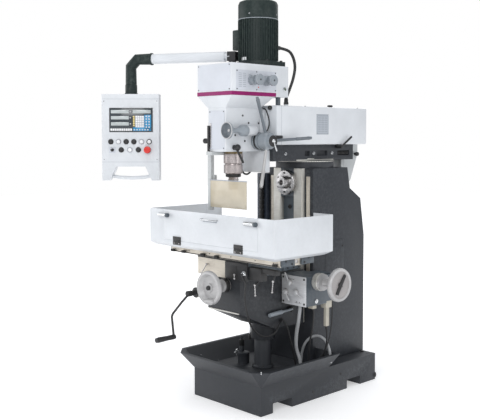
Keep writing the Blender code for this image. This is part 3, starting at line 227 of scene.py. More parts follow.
def build_tooled():
    """Bare metal with cutter lines drawn out along one axis, stains and fine scratches."""
    inputs = (("Vector", ("Vector",)), ("Colour", ("Color",)), ("Stain Colour", ("Color",)),
              ("Stain", ("Float", 0.3)), ("Gloss", ("Float", 0.3)))
    group, put, out = new_group("Tooled", inputs, FINISH)
    vector = put.outputs["Vector"]
    lines = noise(group, vector, 40.0, 4.0, 0.6, (0.4, 6.0, 9.0))
    cloud = noise(group, vector, 9.0, 5.0, 0.6)
    scratch = noise(group, vector, 160.0, 3.0, 0.6, (1.0, 0.12, 0.5))
    stained = product(group, ramp(group, cloud, 0.48, 0.72), put.outputs["Stain"])
    shade = shaded(group, put.outputs["Colour"], ramp(group, lines, 0.3, 0.7, 0.88, 1.08))
    group.links.new(mix_rgba(group, stained, shade, put.outputs["Stain Colour"]), out.inputs["Colour"])
    rough = total(group, put.outputs["Gloss"], ramp(group, lines, 0.3, 0.7, -0.08, 0.1))
    rough = total(group, rough, ramp(group, scratch, 0.5, 0.75, 0.0, 0.12))
    group.links.new(total(group, rough, product(group, stained, 0.2)), out.inputs["Roughness"])
    group.links.new(total(group, product(group, lines, 0.7), product(group, scratch, 0.3)),
                    out.inputs["Height"])


def build_moulded():
    """Plastic or rubber with a fine spark-eroded grain and handled, shinier patches."""
    inputs = (("Vector", ("Vector",)), ("Colour", ("Color",)), ("Grain", ("Float", 700.0)),
              ("Gloss", ("Float", 0.45)))
    group, put, out = new_group("Moulded", inputs, FINISH)
    vector = put.outputs["Vector"]
    handled = noise(group, vector, 14.0, 4.0)
    grain = group.nodes.new("ShaderNodeTexNoise")
    grain.inputs["Detail"].default_value = 2.0
    group.links.new(vector, grain.inputs["Vector"])
    group.links.new(put.outputs["Grain"], grain.inputs["Scale"])
    shade = shaded(group, put.outputs["Colour"], ramp(group, handled, 0.3, 0.7, 0.92, 1.08))
    group.links.new(shade, out.inputs["Colour"])
    group.links.new(total(group, put.outputs["Gloss"], ramp(group, handled, 0.35, 0.7, -0.1, 0.08)),
                    out.inputs["Roughness"])
    group.links.new(grain.outputs["Fac"], out.inputs["Height"])


def new_material(name, group, values, bump, metallic=0.0, specular=0.5, alpha=1.0):
    """A Principled finish fed by one of the shared groups, read in Object coordinates."""
    material = bpy.data.materials.new(name)
    material.use_nodes = True
    tree = material.node_tree
    shader = tree.nodes["Principled BSDF"]
    shader.inputs["Metallic"].default_value = metallic
    shader.inputs["Specular IOR Level"].default_value = specular
    shader.inputs["Alpha"].default_value = alpha
    detail = tree.nodes.new("ShaderNodeGroup")
    detail.node_tree = bpy.data.node_groups[group]
    for socket, value in values.items():
        detail.inputs[socket].default_value = value
    place = tree.nodes.new("ShaderNodeTexCoord")
    raised = tree.nodes.new("ShaderNodeBump")
    raised.inputs["Strength"].default_value = bump
    raised.inputs["Distance"].default_value = 0.0006
    tree.links.new(place.outputs["Object"], detail.inputs["Vector"])
    tree.links.new(detail.outputs["Colour"], shader.inputs["Base Color"])
    tree.links.new(detail.outputs["Roughness"], shader.inputs["Roughness"])
    tree.links.new(detail.outputs["Height"], raised.inputs["Height"])
    tree.links.new(raised.outputs["Normal"], shader.inputs["Normal"])
    return material


def enamel(name, colour, rubbed, rub=0.35, dust=0.1, gloss=0.36, bump=0.2, specular=0.5):
    return new_material(name, "Enamel", {"Colour": (*colour, 1), "Rubbed Colour": (*rubbed, 1), "Rub": rub,
                                         "Dust": dust, "Gloss": gloss}, bump, specular=specular)


def tooled(name, colour, stain_colour, stain=0.3, gloss=0.3, bump=0.25, metallic=1.0):
    return new_material(name, "Tooled", {"Colour": (*colour, 1), "Stain Colour": (*stain_colour, 1),
                                         "Stain": stain, "Gloss": gloss}, bump, metallic=metallic)


def moulded(name, colour, grain=700.0, gloss=0.45, bump=0.25, alpha=1.0):
    return new_material(name, "Moulded", {"Colour": (*colour, 1), "Grain": grain, "Gloss": gloss}, bump,
                        alpha=alpha)


build_enamel()
build_tooled()
build_moulded()
DARK = enamel("dark grey enamel", (0.028, 0.031, 0.037), (0.1, 0.11, 0.12), rub=0.4, dust=0.03, gloss=0.46,
              bump=0.08, specular=0.4)
KNEE_DARK = enamel("knee enamel", (0.022, 0.024, 0.028), (0.1, 0.11, 0.12), rub=0.4, dust=0.04, gloss=0.44,
                   bump=0.12, specular=0.4)
SLATE = enamel("slate blue enamel", (0.066, 0.083, 0.1), (0.18, 0.2, 0.22), rub=0.4, dust=0.03, gloss=0.36,
               bump=0.12)
NAVY = enamel("cabinet enamel", (0.03, 0.04, 0.062), (0.1, 0.12, 0.15), rub=0.3, dust=0.03, gloss=0.4,
              bump=0.08)
WHITE = enamel("white enamel", (0.64, 0.662, 0.69), (0.46, 0.46, 0.46), rub=0.12, dust=0.02, gloss=0.32,
               bump=0.06)
PALE = enamel("pale grey casting enamel", (0.5, 0.52, 0.525), (0.34, 0.34, 0.34), rub=0.2, dust=0.04,
              gloss=0.42, bump=0.2)
PLATE = enamel("pale label plate", (0.55, 0.575, 0.625), (0.45, 0.45, 0.45), rub=0.05, dust=0.0, gloss=0.34,
               bump=0.03)
LABEL = enamel("grey label", (0.34, 0.37, 0.41), (0.28, 0.28, 0.28), rub=0.05, dust=0.0, gloss=0.42, bump=0.03)
MAGENTA = enamel("magenta trim paint", (0.24, 0.006, 0.105), (0.2, 0.02, 0.1), rub=0.1, dust=0.0, gloss=0.36,
                 bump=0.03, specular=0.3)
MOTOR = enamel("motor paint", (0.01, 0.019, 0.018), (0.08, 0.1, 0.09), rub=0.4, dust=0.02, gloss=0.48, bump=0.2,
               specular=0.3)
LEVER_GREY = enamel("lever enamel", (0.25, 0.28, 0.31), (0.36, 0.36, 0.37), rub=0.5, dust=0.0, gloss=0.34,
                    bump=0.1)
GROUND = tooled("ground iron", (0.62, 0.61, 0.57), (0.3, 0.27, 0.24), stain=0.35, gloss=0.38, bump=0.3,
                metallic=0.55)
SCRAPED = tooled("scraped iron", (0.64, 0.59, 0.51), (0.3, 0.25, 0.2), stain=0.35, gloss=0.4, bump=0.3,
                 metallic=0.45)
STEEL = tooled("turned steel", (0.5, 0.49, 0.49), (0.24, 0.21, 0.19), stain=0.25, gloss=0.26, bump=0.2)
CHUCK = tooled("warm tool steel", (0.5, 0.45, 0.44), (0.25, 0.2, 0.18), stain=0.4, gloss=0.3, bump=0.3,
               metallic=0.9)
CHROME = tooled("bright chrome", (0.6, 0.61, 0.62), (0.4, 0.4, 0.4), stain=0.15, gloss=0.14, bump=0.03)
WHEEL = tooled("cast aluminium wheel", (0.47, 0.465, 0.465), (0.34, 0.33, 0.33), stain=0.25, gloss=0.4,
               bump=0.25, metallic=0.35)
SATIN = tooled("satin plate", (0.66, 0.67, 0.69), (0.5, 0.5, 0.5), stain=0.2, gloss=0.36, bump=0.08,
               metallic=0.25)
WHEEL_FACE = tooled("wheel face", (0.36, 0.34, 0.335), (0.26, 0.25, 0.25), stain=0.3, gloss=0.42, bump=0.25,
                    metallic=0.3)
# A darker copy of the lever enamel: painted shade, laid on the upper feed spokes and grips and inside the
# fine-feed dish.
LEVER_SHADE = enamel("painted shade lever enamel", (0.125, 0.145, 0.165), (0.3, 0.31, 0.32), rub=0.5, dust=0.0, gloss=0.34,
               bump=0.1)
BRASS = tooled("aged brass ring", (0.2, 0.15, 0.07), (0.1, 0.07, 0.04), stain=0.4, gloss=0.36, bump=0.2,
               metallic=0.7)
BLACK = moulded("black plastic", (0.016, 0.016, 0.017))
OXIDE = tooled("black oxide steel", (0.035, 0.035, 0.036), (0.09, 0.08, 0.07), stain=0.3, gloss=0.42, bump=0.2,
               metallic=0.4)
RUBBER = moulded("cable jacket", (0.012, 0.012, 0.013), grain=500.0, gloss=0.55)
GREY_HOSE = moulded("grey hose", (0.42, 0.43, 0.44), grain=300.0, gloss=0.45)
BEIGE = moulded("beige connector", (0.48, 0.45, 0.38), grain=500.0, gloss=0.45)
WHITE_PLASTIC = moulded("white plastic", (0.78, 0.79, 0.8), gloss=0.35, bump=0.1)
GREY_PLASTIC = moulded("grey keypad", (0.42, 0.43, 0.46), gloss=0.5, bump=0.15)
RED = moulded("red plastic", (0.66, 0.04, 0.03), gloss=0.3, bump=0.1)
SCREEN = moulded("screen grey", (0.045, 0.055, 0.062), gloss=0.15, bump=0.02)
READOUT = moulded("readout window", (0.46, 0.5, 0.5), gloss=0.15, bump=0.02)
BLUE = moulded("blue key field", (0.02, 0.24, 0.46), gloss=0.3, bump=0.05)
YELLOW = moulded("yellow keys", (0.7, 0.56, 0.22), gloss=0.45, bump=0.1)
SHIELD = moulded("aged clear sheet", (0.6, 0.53, 0.4), grain=60.0, gloss=0.16, bump=0.02, alpha=0.7)
OIL_GLASS = moulded("oil glass", (0.1, 0.14, 0.1), gloss=0.08, bump=0.02)


# The slot of the material table that each finish belongs to.
SLOTS = {
    "dark_paint": (DARK, KNEE_DARK, NAVY, SLATE),
    "grey_paint": (PALE, LABEL, LEVER_GREY),
    "light_paint": (WHITE, PLATE, MAGENTA),
    "motor_green": (MOTOR,),
    "bare_iron": (GROUND, SCRAPED),
    "machined": (WHEEL, WHEEL_FACE, LEVER_SHADE, SATIN),
    "steel": (OXIDE, CHROME, STEEL, CHUCK, BRASS),
    "black_plastic": (BLACK, RUBBER, GREY_HOSE, SCREEN, BEIGE, OIL_GLASS),
    "white_plastic": (WHITE_PLASTIC, GREY_PLASTIC, READOUT, BLUE, YELLOW),
    "red_plastic": (RED,),
    "clear_sheet": (SHIELD,),
}
SLOT_OF = {finish.name: slot for slot, finishes in SLOTS.items() for finish in finishes}


# ---- modelling helpers ----

def deselect():
    if bpy.context.mode != "OBJECT":
        bpy.ops.object.mode_set(mode="OBJECT")
    bpy.ops.object.select_all(action="DESELECT")


def choose(obj):
    deselect()
    obj.select_set(True)
    bpy.context.view_layer.objects.active = obj


def settle(obj):
    """Puts the object at the origin with its place in its mesh."""
    choose(obj)
    bpy.ops.object.transform_apply(location=True, rotation=True, scale=True)


def smooth(obj, angle=32):
    choose(obj)
    bpy.ops.object.shade_smooth_by_angle(angle=math.radians(angle))


def keep(obj, name, body, material, *replaced, slot=None, angle=32, spots=()):
    """Names a finished piece, gives it its finish, any spots of another finish, and fixes it to a body.

    Its slot is looked up from its finish unless one is given, but is not used further."""
    slot = slot or SLOT_OF[material.name]
    obj.name = obj.data.name = name
    obj.data.materials.clear()
    obj.data.materials.append(material)
    for other, test in spots:
        paint(obj, other, test)
    smooth(obj, angle)
    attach(obj, body)
    if replaced:
        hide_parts(*replaced)
    return obj


def block(low, high, edge=0.0015, segments=2):
    """A box with its edges broken."""
    deselect()
    low, high = Vector(low), Vector(high)
    bpy.ops.mesh.primitive_cube_add(size=1, location=(low + high) / 2)
    obj = bpy.context.object
    obj.scale = high - low
    settle(obj)
    if edge:
        bpy.ops.object.mode_set(mode="EDIT")
        bpy.ops.mesh.select_all(action="SELECT")
        bpy.ops.mesh.bevel(offset=edge, segments=segments, affect="EDGES")
        bpy.ops.object.mode_set(mode="OBJECT")
    return obj


def turned(rings, origin, axis=Z, sides=32):
    """A turned piece drawn up ring by ring: rings are (radius, distance along the axis), foot first."""
    deselect()
    (radius, height), rest = rings[0], rings[1:]
    bpy.ops.mesh.primitive_circle_add(vertices=sides, radius=radius, fill_type="NGON", location=(0, 0, height))
    obj = bpy.context.object
    settle(obj)
    bpy.ops.object.mode_set(mode="EDIT")
    bpy.ops.mesh.select_all(action="SELECT")
    for wide, far in rest:
        bpy.ops.mesh.extrude_region_move(TRANSFORM_OT_translate={"value": (0, 0, far - height)})
        bpy.ops.transform.resize(value=(wide / radius, wide / radius, 1))
        radius, height = wide, far
    bpy.ops.mesh.select_all(action="SELECT")
    bpy.ops.mesh.normals_make_consistent(inside=False)
    bpy.ops.object.mode_set(mode="OBJECT")
    obj.matrix_world = Matrix.Translation(origin) @ Vector(axis).to_track_quat("Z", "Y").to_matrix().to_4x4()
    settle(obj)
    return obj


def rod(start, end, radius, edge=0.001, sides=20):
    start, end = Vector(start), Vector(end)
    long = (end - start).length
    edge = min(edge, radius * 0.6, long * 0.4)
    rings = [(radius - edge, 0), (radius, edge), (radius, long - edge), (radius - edge, long)]
    return turned(rings, start, end - start, sides)


def ball(centre, radius):
    deselect()
    bpy.ops.mesh.primitive_uv_sphere_add(segments=20, ring_count=12, radius=radius, location=centre)
    obj = bpy.context.object
    settle(obj)
    return obj


def path_points(points, spacing=0.012):
    ends = [Vector(p) for p in points]
    ends = [2 * ends[0] - ends[1], *ends, 2 * ends[-1] - ends[-2]]
    route = []
    for p0, p1, p2, p3 in zip(ends, ends[1:], ends[2:], ends[3:]):
        steps = max(1, round((p2 - p1).length / spacing))
        for i in range(steps):
            t = i / steps
            route.append(0.5 * (2 * p1 + (p2 - p0) * t + (2 * p0 - 5 * p1 + 4 * p2 - p3) * t * t
                                + (3 * p1 - 3 * p2 + p3 - p0) * t ** 3))
    return [*route, ends[-2]]


def pipe(points, radius, spacing=0.012, resolution=4, curved=True):
    """A round tube along a smooth line, made a mesh."""
    route = path_points(points, spacing) if curved else [Vector(p) for p in points]
    curve = bpy.data.curves.new("pipe", "CURVE")
    curve.dimensions, curve.use_fill_caps = "3D", True
    curve.bevel_depth, curve.bevel_resolution = radius, resolution
    spline = curve.splines.new("POLY")
    spline.points.add(len(route) - 1)
    for point, place in zip(spline.points, route):
        point.co = (*place, 1)
    obj = bpy.data.objects.new("pipe", curve)
    bpy.context.scene.collection.objects.link(obj)
    choose(obj)
    bpy.ops.object.convert(target="MESH")
    obj = bpy.context.object
    choose(obj)
    bpy.ops.object.mode_set(mode="EDIT")
    bpy.ops.mesh.select_all(action="SELECT")
    bpy.ops.mesh.remove_doubles(threshold=0.00002)
    bpy.ops.mesh.normals_make_consistent(inside=False)
    bpy.ops.object.mode_set(mode="OBJECT")
    return obj


def joined(*pieces):
    """Several solids made one object."""
    choose(pieces[0])
    for piece in pieces[1:]:
        piece.select_set(True)
    bpy.ops.object.join()
    return bpy.context.object


def casting(node, edge=0.003, segments=2, angle=28):
    """A clean copy of a CAD node with its corners rounded over."""
    source = NODES[node]
    obj = bpy.data.objects.new(node + "_skin", source.data.copy())
    bpy.context.scene.collection.objects.link(obj)
    choose(obj)
    bpy.ops.object.mode_set(mode="EDIT")
    bpy.ops.mesh.select_all(action="SELECT")
    bpy.ops.mesh.remove_doubles(threshold=0.00002)
    bpy.ops.mesh.dissolve_limited(angle_limit=math.radians(0.5))
    bpy.ops.object.mode_set(mode="OBJECT")
    if edge:
        bevel = obj.modifiers.new("edges", "BEVEL")
        bevel.width, bevel.segments, bevel.limit_method = edge, segments, "ANGLE"
        bevel.angle_limit = math.radians(angle)
        bpy.ops.object.modifier_apply(modifier="edges")
    return obj


def split_faces(obj, *planes):
    """Splits faces along planes, each a point and a normal, and leaves the shape as it is."""
    mesh = bmesh.new()
    mesh.from_mesh(obj.data)
    for point, normal in planes:
        bmesh.ops.bisect_plane(mesh, geom=[*mesh.verts, *mesh.edges, *mesh.faces], plane_co=point,
                               plane_no=normal)
    mesh.to_mesh(obj.data)
    mesh.free()


def paint(obj, material, test):
    """Gives a second finish to the faces whose centre and normal pass a test."""
    obj.data.materials.append(material)
    index = len(obj.data.materials) - 1
    for face in obj.data.polygons:
        if test(face.center, face.normal):
            face.material_index = index


def cap_screw(place, axis, radius=0.006, proud=0.004):
    """A socket-head screw with its hexagon recess."""
    rings = [(radius, -0.0005), (radius, proud * 0.8), (radius * 0.86, proud)]
    head = turned(rings, place, axis, 20)
    choose(head)
    bpy.ops.object.mode_set(mode="EDIT")
    bpy.ops.mesh.select_all(action="DESELECT")
    mesh = bmesh.from_edit_mesh(head.data)
    direction = Vector(axis).normalized()
    for face in mesh.faces:
        height = (face.calc_center_median() - Vector(place)).dot(direction)
        face.select = face.normal.dot(direction) > 0.98 and len(face.verts) > 4 and height > proud * 0.5
    bmesh.update_edit_mesh(head.data)
    bpy.ops.mesh.inset(thickness=radius * 0.38, depth=0)
    bpy.ops.mesh.inset(thickness=radius * 0.02, depth=-proud * 0.6)
    bpy.ops.object.mode_set(mode="OBJECT")
    return head


def screws(name, places, axis, radius, proud, body, material=None):
    """A numbered row of socket-head screws along one axis, black unless a finish is given."""
    for number, place in enumerate(places, 1):
        keep(cap_screw(place, axis, radius, proud), f"{name}_{number}", body, material or OXIDE, slot="steel")


def spun(obj, centre, angle):
    """Turns a piece drawn about the upright axis by an angle and sets it at a centre."""
    obj.matrix_world = Matrix.Translation(centre) @ Matrix.Rotation(angle, 4, "Z")
    settle(obj)
    return obj


def ball_lever(hub, tip, thick=0.0045, knob=0.0085, hub_radius=0.01):
    """A clamping lever with a ball at each end."""
    hub, tip = Vector(hub), Vector(tip)
    return joined(ball(hub, hub_radius), rod(hub, tip, thick), ball(tip, knob))


# Centres that several pieces share, in metres.
SPINDLE_Y, MOTOR_Y = -0.42, -0.236  # the upright axes of the spindle and of the motor, both at x = 0
HUB_Y, HUB_Z = -0.31, 1.403  # the axis of the feed star, along x
CROSS_HUB = (0.023, -0.4903, 0.65)  # where the cross wheel leaves the knee
ARM_FOOT, ARM_REACH = (-0.102, -0.33), 0.607  # the pendant arm's pivot, and its length out to the elbow
TRAY_FLOOR = 0.1563

set_camera()
set_studio()


# ---- base, column and cabinet (body "frame") ----

def dress_base():
    keep(casting("base_casting", 0.004), "base_casting_skin", "frame", DARK, "base_casting")
    for number, (x, y, z) in enumerate(((0.264, -0.075, 0.043), (0.264, 0.16, 0.095)), 1):
        keep(rod((0.2595, y, z), (x - 0.001, y, z), 0.007), f"base_plug_{number}", "frame", BLACK)
    for number, (x, y, z) in enumerate(((-0.2888, -0.4025, 0.2001), (-0.2553, -0.3025, 0.1575),
                                        (0.3105, -0.5201, 0.2475), (0.2313, 0.4352, 0.1555)), 1):
        keep(rod((x, y, z - 0.008), (x, y, z + 0.006), 0.0035), f"tray_pin_{number}", "frame", CHROME)
    keep(turned([(0.016, 0), (0.022, 0.004), (0.022, 0.016), (0.014, 0.026), (0.009, 0.028)],
                (0.245, 0.462, 0.025), Y), "drain_cap", "frame", BLACK)
    screws("base_bolt", [(x, 0.44, 0.1555) for x in (-0.19, 0.19)], Z, 0.01, 0.006, "frame")


def dress_column():
    column = casting("column", 0.004)
    split_faces(column, *(((x, 0, 0), X) for x in (-0.1025, -0.05, 0.05, 0.1025)), ((0, 0, 0.385), Z))
    spots = ((SLATE, lambda c, n: abs(c.x) < 0.052 and c.z > 0.38 and c.y < 0.03),
             (GROUND, lambda c, n: 0.05 < abs(c.x) < 0.1075 and c.y < 0.019 and c.z > 0.38 and abs(n.z) < 0.5))
    keep(column, "column_skin", "frame", DARK, "column", spots=spots)
    for side in (-1, 1):
        keep(block((side * 0.1375 - 0.0115, 0.0145, 0.6), (side * 0.1375 + 0.0115, 0.0215, 1.205), 0.001),
             "way_cover_" + ("left" if side < 0 else "right"), "frame", SCRAPED)
    keep(block((0.169, 0.125, 0.52), (0.1722, 0.29, 0.84), 0.0008), "column_side_door", "frame",
         DARK)
    screws("side_door_screw", [(0.1722, 0.276, z) for z in (0.56, 0.8)], X, 0.005, 0.002, "frame")
    keep(turned([(0.012, 0), (0.012, 0.004), (0.009, 0.005), (0.0085, 0.001)], (0, 0.0175, 1.03), -Y),
         "way_slot_plug", "frame", OXIDE)
    keep(casting("electrical_cabinet", 0), "cabinet_skin", "frame", NAVY, "electrical_cabinet")
    keep(block((-0.2525, 0.016, 0.47), (-0.2495, 0.318, 1.198), 0.001), "cabinet_front", "frame", NAVY)
    for number, z in enumerate((0.6, 1.06), 1):
        keep(rod((-0.253, 0.024, z - 0.022), (-0.253, 0.024, z + 0.022), 0.005), f"cabinet_hinge_{number}",
             "frame", OXIDE)
        keep(joined(rod((-0.252, 0.292, z), (-0.258, 0.292, z), 0.012),
                    block((-0.26, 0.29, z - 0.008), (-0.2575, 0.294, z + 0.008), 0.0005)),
             f"cabinet_lock_{number}", "frame", CHROME)
    slats = [block((-0.254, 0.1 + 0.018 * k, 0.96), (-0.252, 0.11 + 0.018 * k, 1.06), 0.0008) for k in range(8)]
    keep(joined(*slats), "cabinet_louvres", "frame", NAVY)


def dress_pedestal():
    keep(casting("knee_screw_pedestal", 0.0015), "pedestal_skin", "frame", DARK, "knee_screw_pedestal")
    for k in range(4):
        a = math.radians(45 + 90 * k)
        place = Vector((0.0515 * math.cos(a), -0.2 + 0.0515 * math.sin(a), 0.1693))
        keep(cap_screw(place, Z, 0.0045, 0.003), f"pedestal_bolt_{k + 1}", "frame", OXIDE)
    keep(joined(turned([(0.032, 0), (0.032, 0.05), (0.034, 0.054), (0.034, 0.06), (0.028, 0.064)],
                       (-0.128, -0.225, TRAY_FLOOR), Z),
                turned([(0.014, 0.058), (0.014, 0.096), (0.012, 0.1), (0.012, 0.112), (0.006, 0.114),
                        (0.006, 0.15)], (-0.1435, -0.225, TRAY_FLOOR), Z)), "coolant_pump", "frame", DARK)
    keep(turned([(0.013, 0.094), (0.0145, 0.098), (0.0145, 0.128), (0.01, 0.132)],
                (-0.1435, -0.225, TRAY_FLOOR), Z), "coolant_pump_cap", "frame", BLACK)
    keep(joined(rod((-0.16, -0.247, 0.196), (-0.16, -0.247, 0.222), 0.009),
                rod((-0.174, -0.254, 0.21), (-0.146, -0.24, 0.21), 0.006), ball((-0.16, -0.247, 0.228), 0.007)),
         "coolant_tap", "frame", CHROME)
    keep(rod((-0.081, -0.22, 0.3), (-0.081, -0.22, 0.399), 0.0035), "coolant_riser", "knee", CHROME)
    keep(turned([(0.0075, 0), (0.0088, 0.003), (0.0088, 0.024), (0.006, 0.03)], (-0.081, -0.22, 0.3), Z, 24),
         "coolant_riser_union", "knee", OXIDE)


def dress_horizontal_spindle():
    keep(casting("horizontal_spindle_cap", 0.0012), "bearing_cap_skin", "frame", STEEL,
         "horizontal_spindle_cap", slot="machined")
    for k in range(6):
        a = math.radians(30 + 60 * k)
        place = (0.053 * math.cos(a), -0.0303, 1.17 + 0.053 * math.sin(a))
        keep(cap_screw(place, -Y, 0.0055, 0.0035), f"bearing_cap_screw_{k + 1}", "frame", OXIDE)
    keep(casting("horizontal_spindle", 0.0015), "arbor_nose_skin", "horizontal_spindle_body", STEEL,
         "horizontal_spindle")
    for k, side in enumerate((-1, 1), 1):
        keep(block((side * 0.0235 - 0.0075, -0.0605, 1.1655), (side * 0.0235 + 0.0075, -0.054, 1.1745), 0.0008),
             f"drive_key_{k}", "horizontal_spindle_body", STEEL)


# ---- ram (body "ram_and_head") and turret ----

def dress_ram():
    keep(casting("turret_plate", 0.0015), "turret_plate_skin", "turret", DARK, "turret_plate")
    keep(turned([(0.1655, 0), (0.167, 0.001), (0.167, 0.005), (0.1655, 0.006)], (0, 0.14, 1.285), Z, 64),
         "turret_scale", "turret", GROUND)
    ticks = []
    for k in range(-9, 10):
        a = math.radians(k * 5)
        out = Vector((math.cos(a), math.sin(a), 0))
        place = Vector((0, 0.14, 1.288)) + out * 0.167
        tick = block((-0.0006, -0.0005, -0.0024 if k % 2 else -0.003),
                     (0.0006, 0.0005, 0.0024 if k % 2 else 0.003), 0)
        ticks.append(spun(tick, place, a))
    keep(joined(*ticks), "turret_scale_marks", "turret", OXIDE)
    keep(casting("ram_slide", 0.0025), "ram_slide_skin", "ram_and_head", DARK, "ram_slide")
    keep(joined(block((0.1185, -0.06, 1.2938), (0.1215, 0.25, 1.2995), 0.0006),
                block((0.1185, 0.03, 1.301), (0.121, 0.085, 1.3055), 0.0006)), "ram_gib_strip", "ram_and_head",
         GROUND)
    for number, (y, z) in enumerate(((0.078, 1.333), (0.235, 1.333), (-0.15, 1.333)), 1):
        keep(joined(rod((0.119, y, z), (0.126, y, z), 0.01), rod((0.124, y, z), (0.131, y, z), 0.006, sides=6)),
             f"ram_clamp_bolt_{number}", "ram_and_head", CHROME)
    rack = [block((0.106, 0.3 + 0.012 * k, 1.325), (0.115, 0.306 + 0.012 * k, 1.341), 0.0008) for k in range(8)]
    keep(joined(*rack), "ram_rack_teeth", "ram_and_head", OXIDE)
    keep(casting("ram_cover", 0.001), "ram_cover_skin", "ram_and_head", WHITE, "ram_cover")
    keep(joined(block((0.1494, -0.21, 1.3825), (0.1503, -0.2085, 1.5915), 0),
                block((-0.1503, -0.21, 1.3825), (-0.1494, -0.2085, 1.5915), 0),
                block((-0.148, -0.21, 1.591), (0.148, -0.2085, 1.5922), 0)), "ram_cover_seam", "ram_and_head",
         LABEL)
    keep(block((0.1496, 0.071, 1.438), (0.1506, 0.173, 1.551), 0.0003, 1), "ram_data_plate", "ram_and_head",
         LABEL)
    rows = [block((0.1504, 0.08, 1.448 + 0.0125 * k), (0.1509, 0.164, 1.4495 + 0.0125 * k), 0)
            for k in range(8)]
    rows += [block((0.1504, 0.08 + 0.028 * k, 1.448), (0.1509, 0.0812 + 0.028 * k, 1.537), 0) for k in range(4)]
    keep(joined(*rows), "ram_data_plate_rules", "ram_and_head", PLATE)
    screws("data_plate_rivet", [(0.1505, y, z) for z in (1.442, 1.547) for y in (0.075, 0.169)], X, 0.0028,
           0.0012, "ram_and_head", CHROME)
    screws("ram_cover_screw", [(x, y, 1.5915) for y in (0.02, 0.48) for x in (0.11, -0.11)], Z, 0.006, 0.004,
           "ram_and_head")
    keep(turned([(0.01, 0), (0.01, 0.004), (0.016, 0.006), (0.016, 0.012), (0.012, 0.015)],
                (0.09, 0.255, 1.5915), Z), "ram_lock_cap", "ram_and_head", BLACK)
    keep(block((0.13, -0.25, 1.414), (0.1545, -0.198, 1.433), 0.0075, 3), "ram_front_stop", "ram_and_head",
         BLACK)
    keep(casting("arbor_bracket", 0.005, 3), "arbor_bracket_skin", "ram_and_head", PALE, "arbor_bracket")
    keep(block((0.02, 0.412, 1.22), (0.044, 0.4325, 1.293), 0.004), "arbor_bracket_web", "ram_and_head", PALE)
    keep(turned([(0.008, -0.004), (0.008, 0.01), (0.012, 0.013), (0.012, 0.026), (0.009, 0.029)],
                (0.044, 0.538, 1.322), X), "arbor_bracket_knob", "ram_and_head", BLACK)
    keep(casting("head_mount_bracket", 0.004, 3), "head_mount_skin", "ram_and_head", WHITE,
         "head_mount_bracket", slot="grey_paint")
    keep(casting("ram_clamp_lever", 0.0006), "ram_clamp_skin", "ram_clamp", BLACK, "ram_clamp_lever")


def dress_cables():
    out = Vector((0.567, 0.8237, 0))
    start, end = Vector((0, MOTOR_Y, 1.905)) + out * 0.1043, Vector((0.1, -0.122, 1.6042))
    route = [start, start + out * 0.014, (0.1, -0.1, 1.888), (0.118, -0.084, 1.85), (0.124, -0.078, 1.8),
             (0.12, -0.088, 1.74), (0.11, -0.106, 1.68), end + Z * 0.026, end]
    hose("motor_cable_skin", route, 0.008, "ram_and_head", RUBBER, replaced=("motor_cable",))
    keep(turned([(0.0135, 0), (0.0135, 0.01), (0.0115, 0.014), (0.0115, 0.026), (0.0088, 0.034)],
                (0.1, -0.122, 1.6), Z, 6), "motor_cable_gland", "ram_and_head", BLACK)
    keep(turned([(0.0135, 0), (0.0135, 0.008), (0.011, 0.012), (0.011, 0.02)], start - out * 0.0028, out, 6),
         "motor_cable_entry", "ram_and_head", BLACK)
    start, end = Vector((-0.03, -0.34, 1.3477)), Vector((-0.1, -0.172, 1.2933))
    route = [start, start - Z * 0.024, (-0.034, -0.33, 1.266), (-0.044, -0.308, 1.234), (-0.062, -0.272, 1.222),
             (-0.08, -0.23, 1.224), (-0.096, -0.19, 1.246), end - Z * 0.018, end]
    hose("head_cable_skin", route, 0.005, "ram_and_head", RUBBER, replaced=("head_cable",))
    heights = [0.54 + 0.0275 * k for k in range(24)]
    links = [block((-0.2105, -0.0222, z), (-0.1875, 0.001, z + 0.0225), 0.003) for z in heights]
    keep(joined(*links), "cable_chain", "frame", RUBBER)
    core = casting("cable_conduit", 0)
    middle, slimmer = Vector((-0.199, -0.0103, 0)), Matrix.Diagonal((0.82, 0.82, 1, 1))
    core.data.transform(Matrix.Translation(middle) @ slimmer @ Matrix.Translation(-middle))
    keep(core, "cable_chain_core", "frame", RUBBER, "cable_conduit")


# ---- head ----

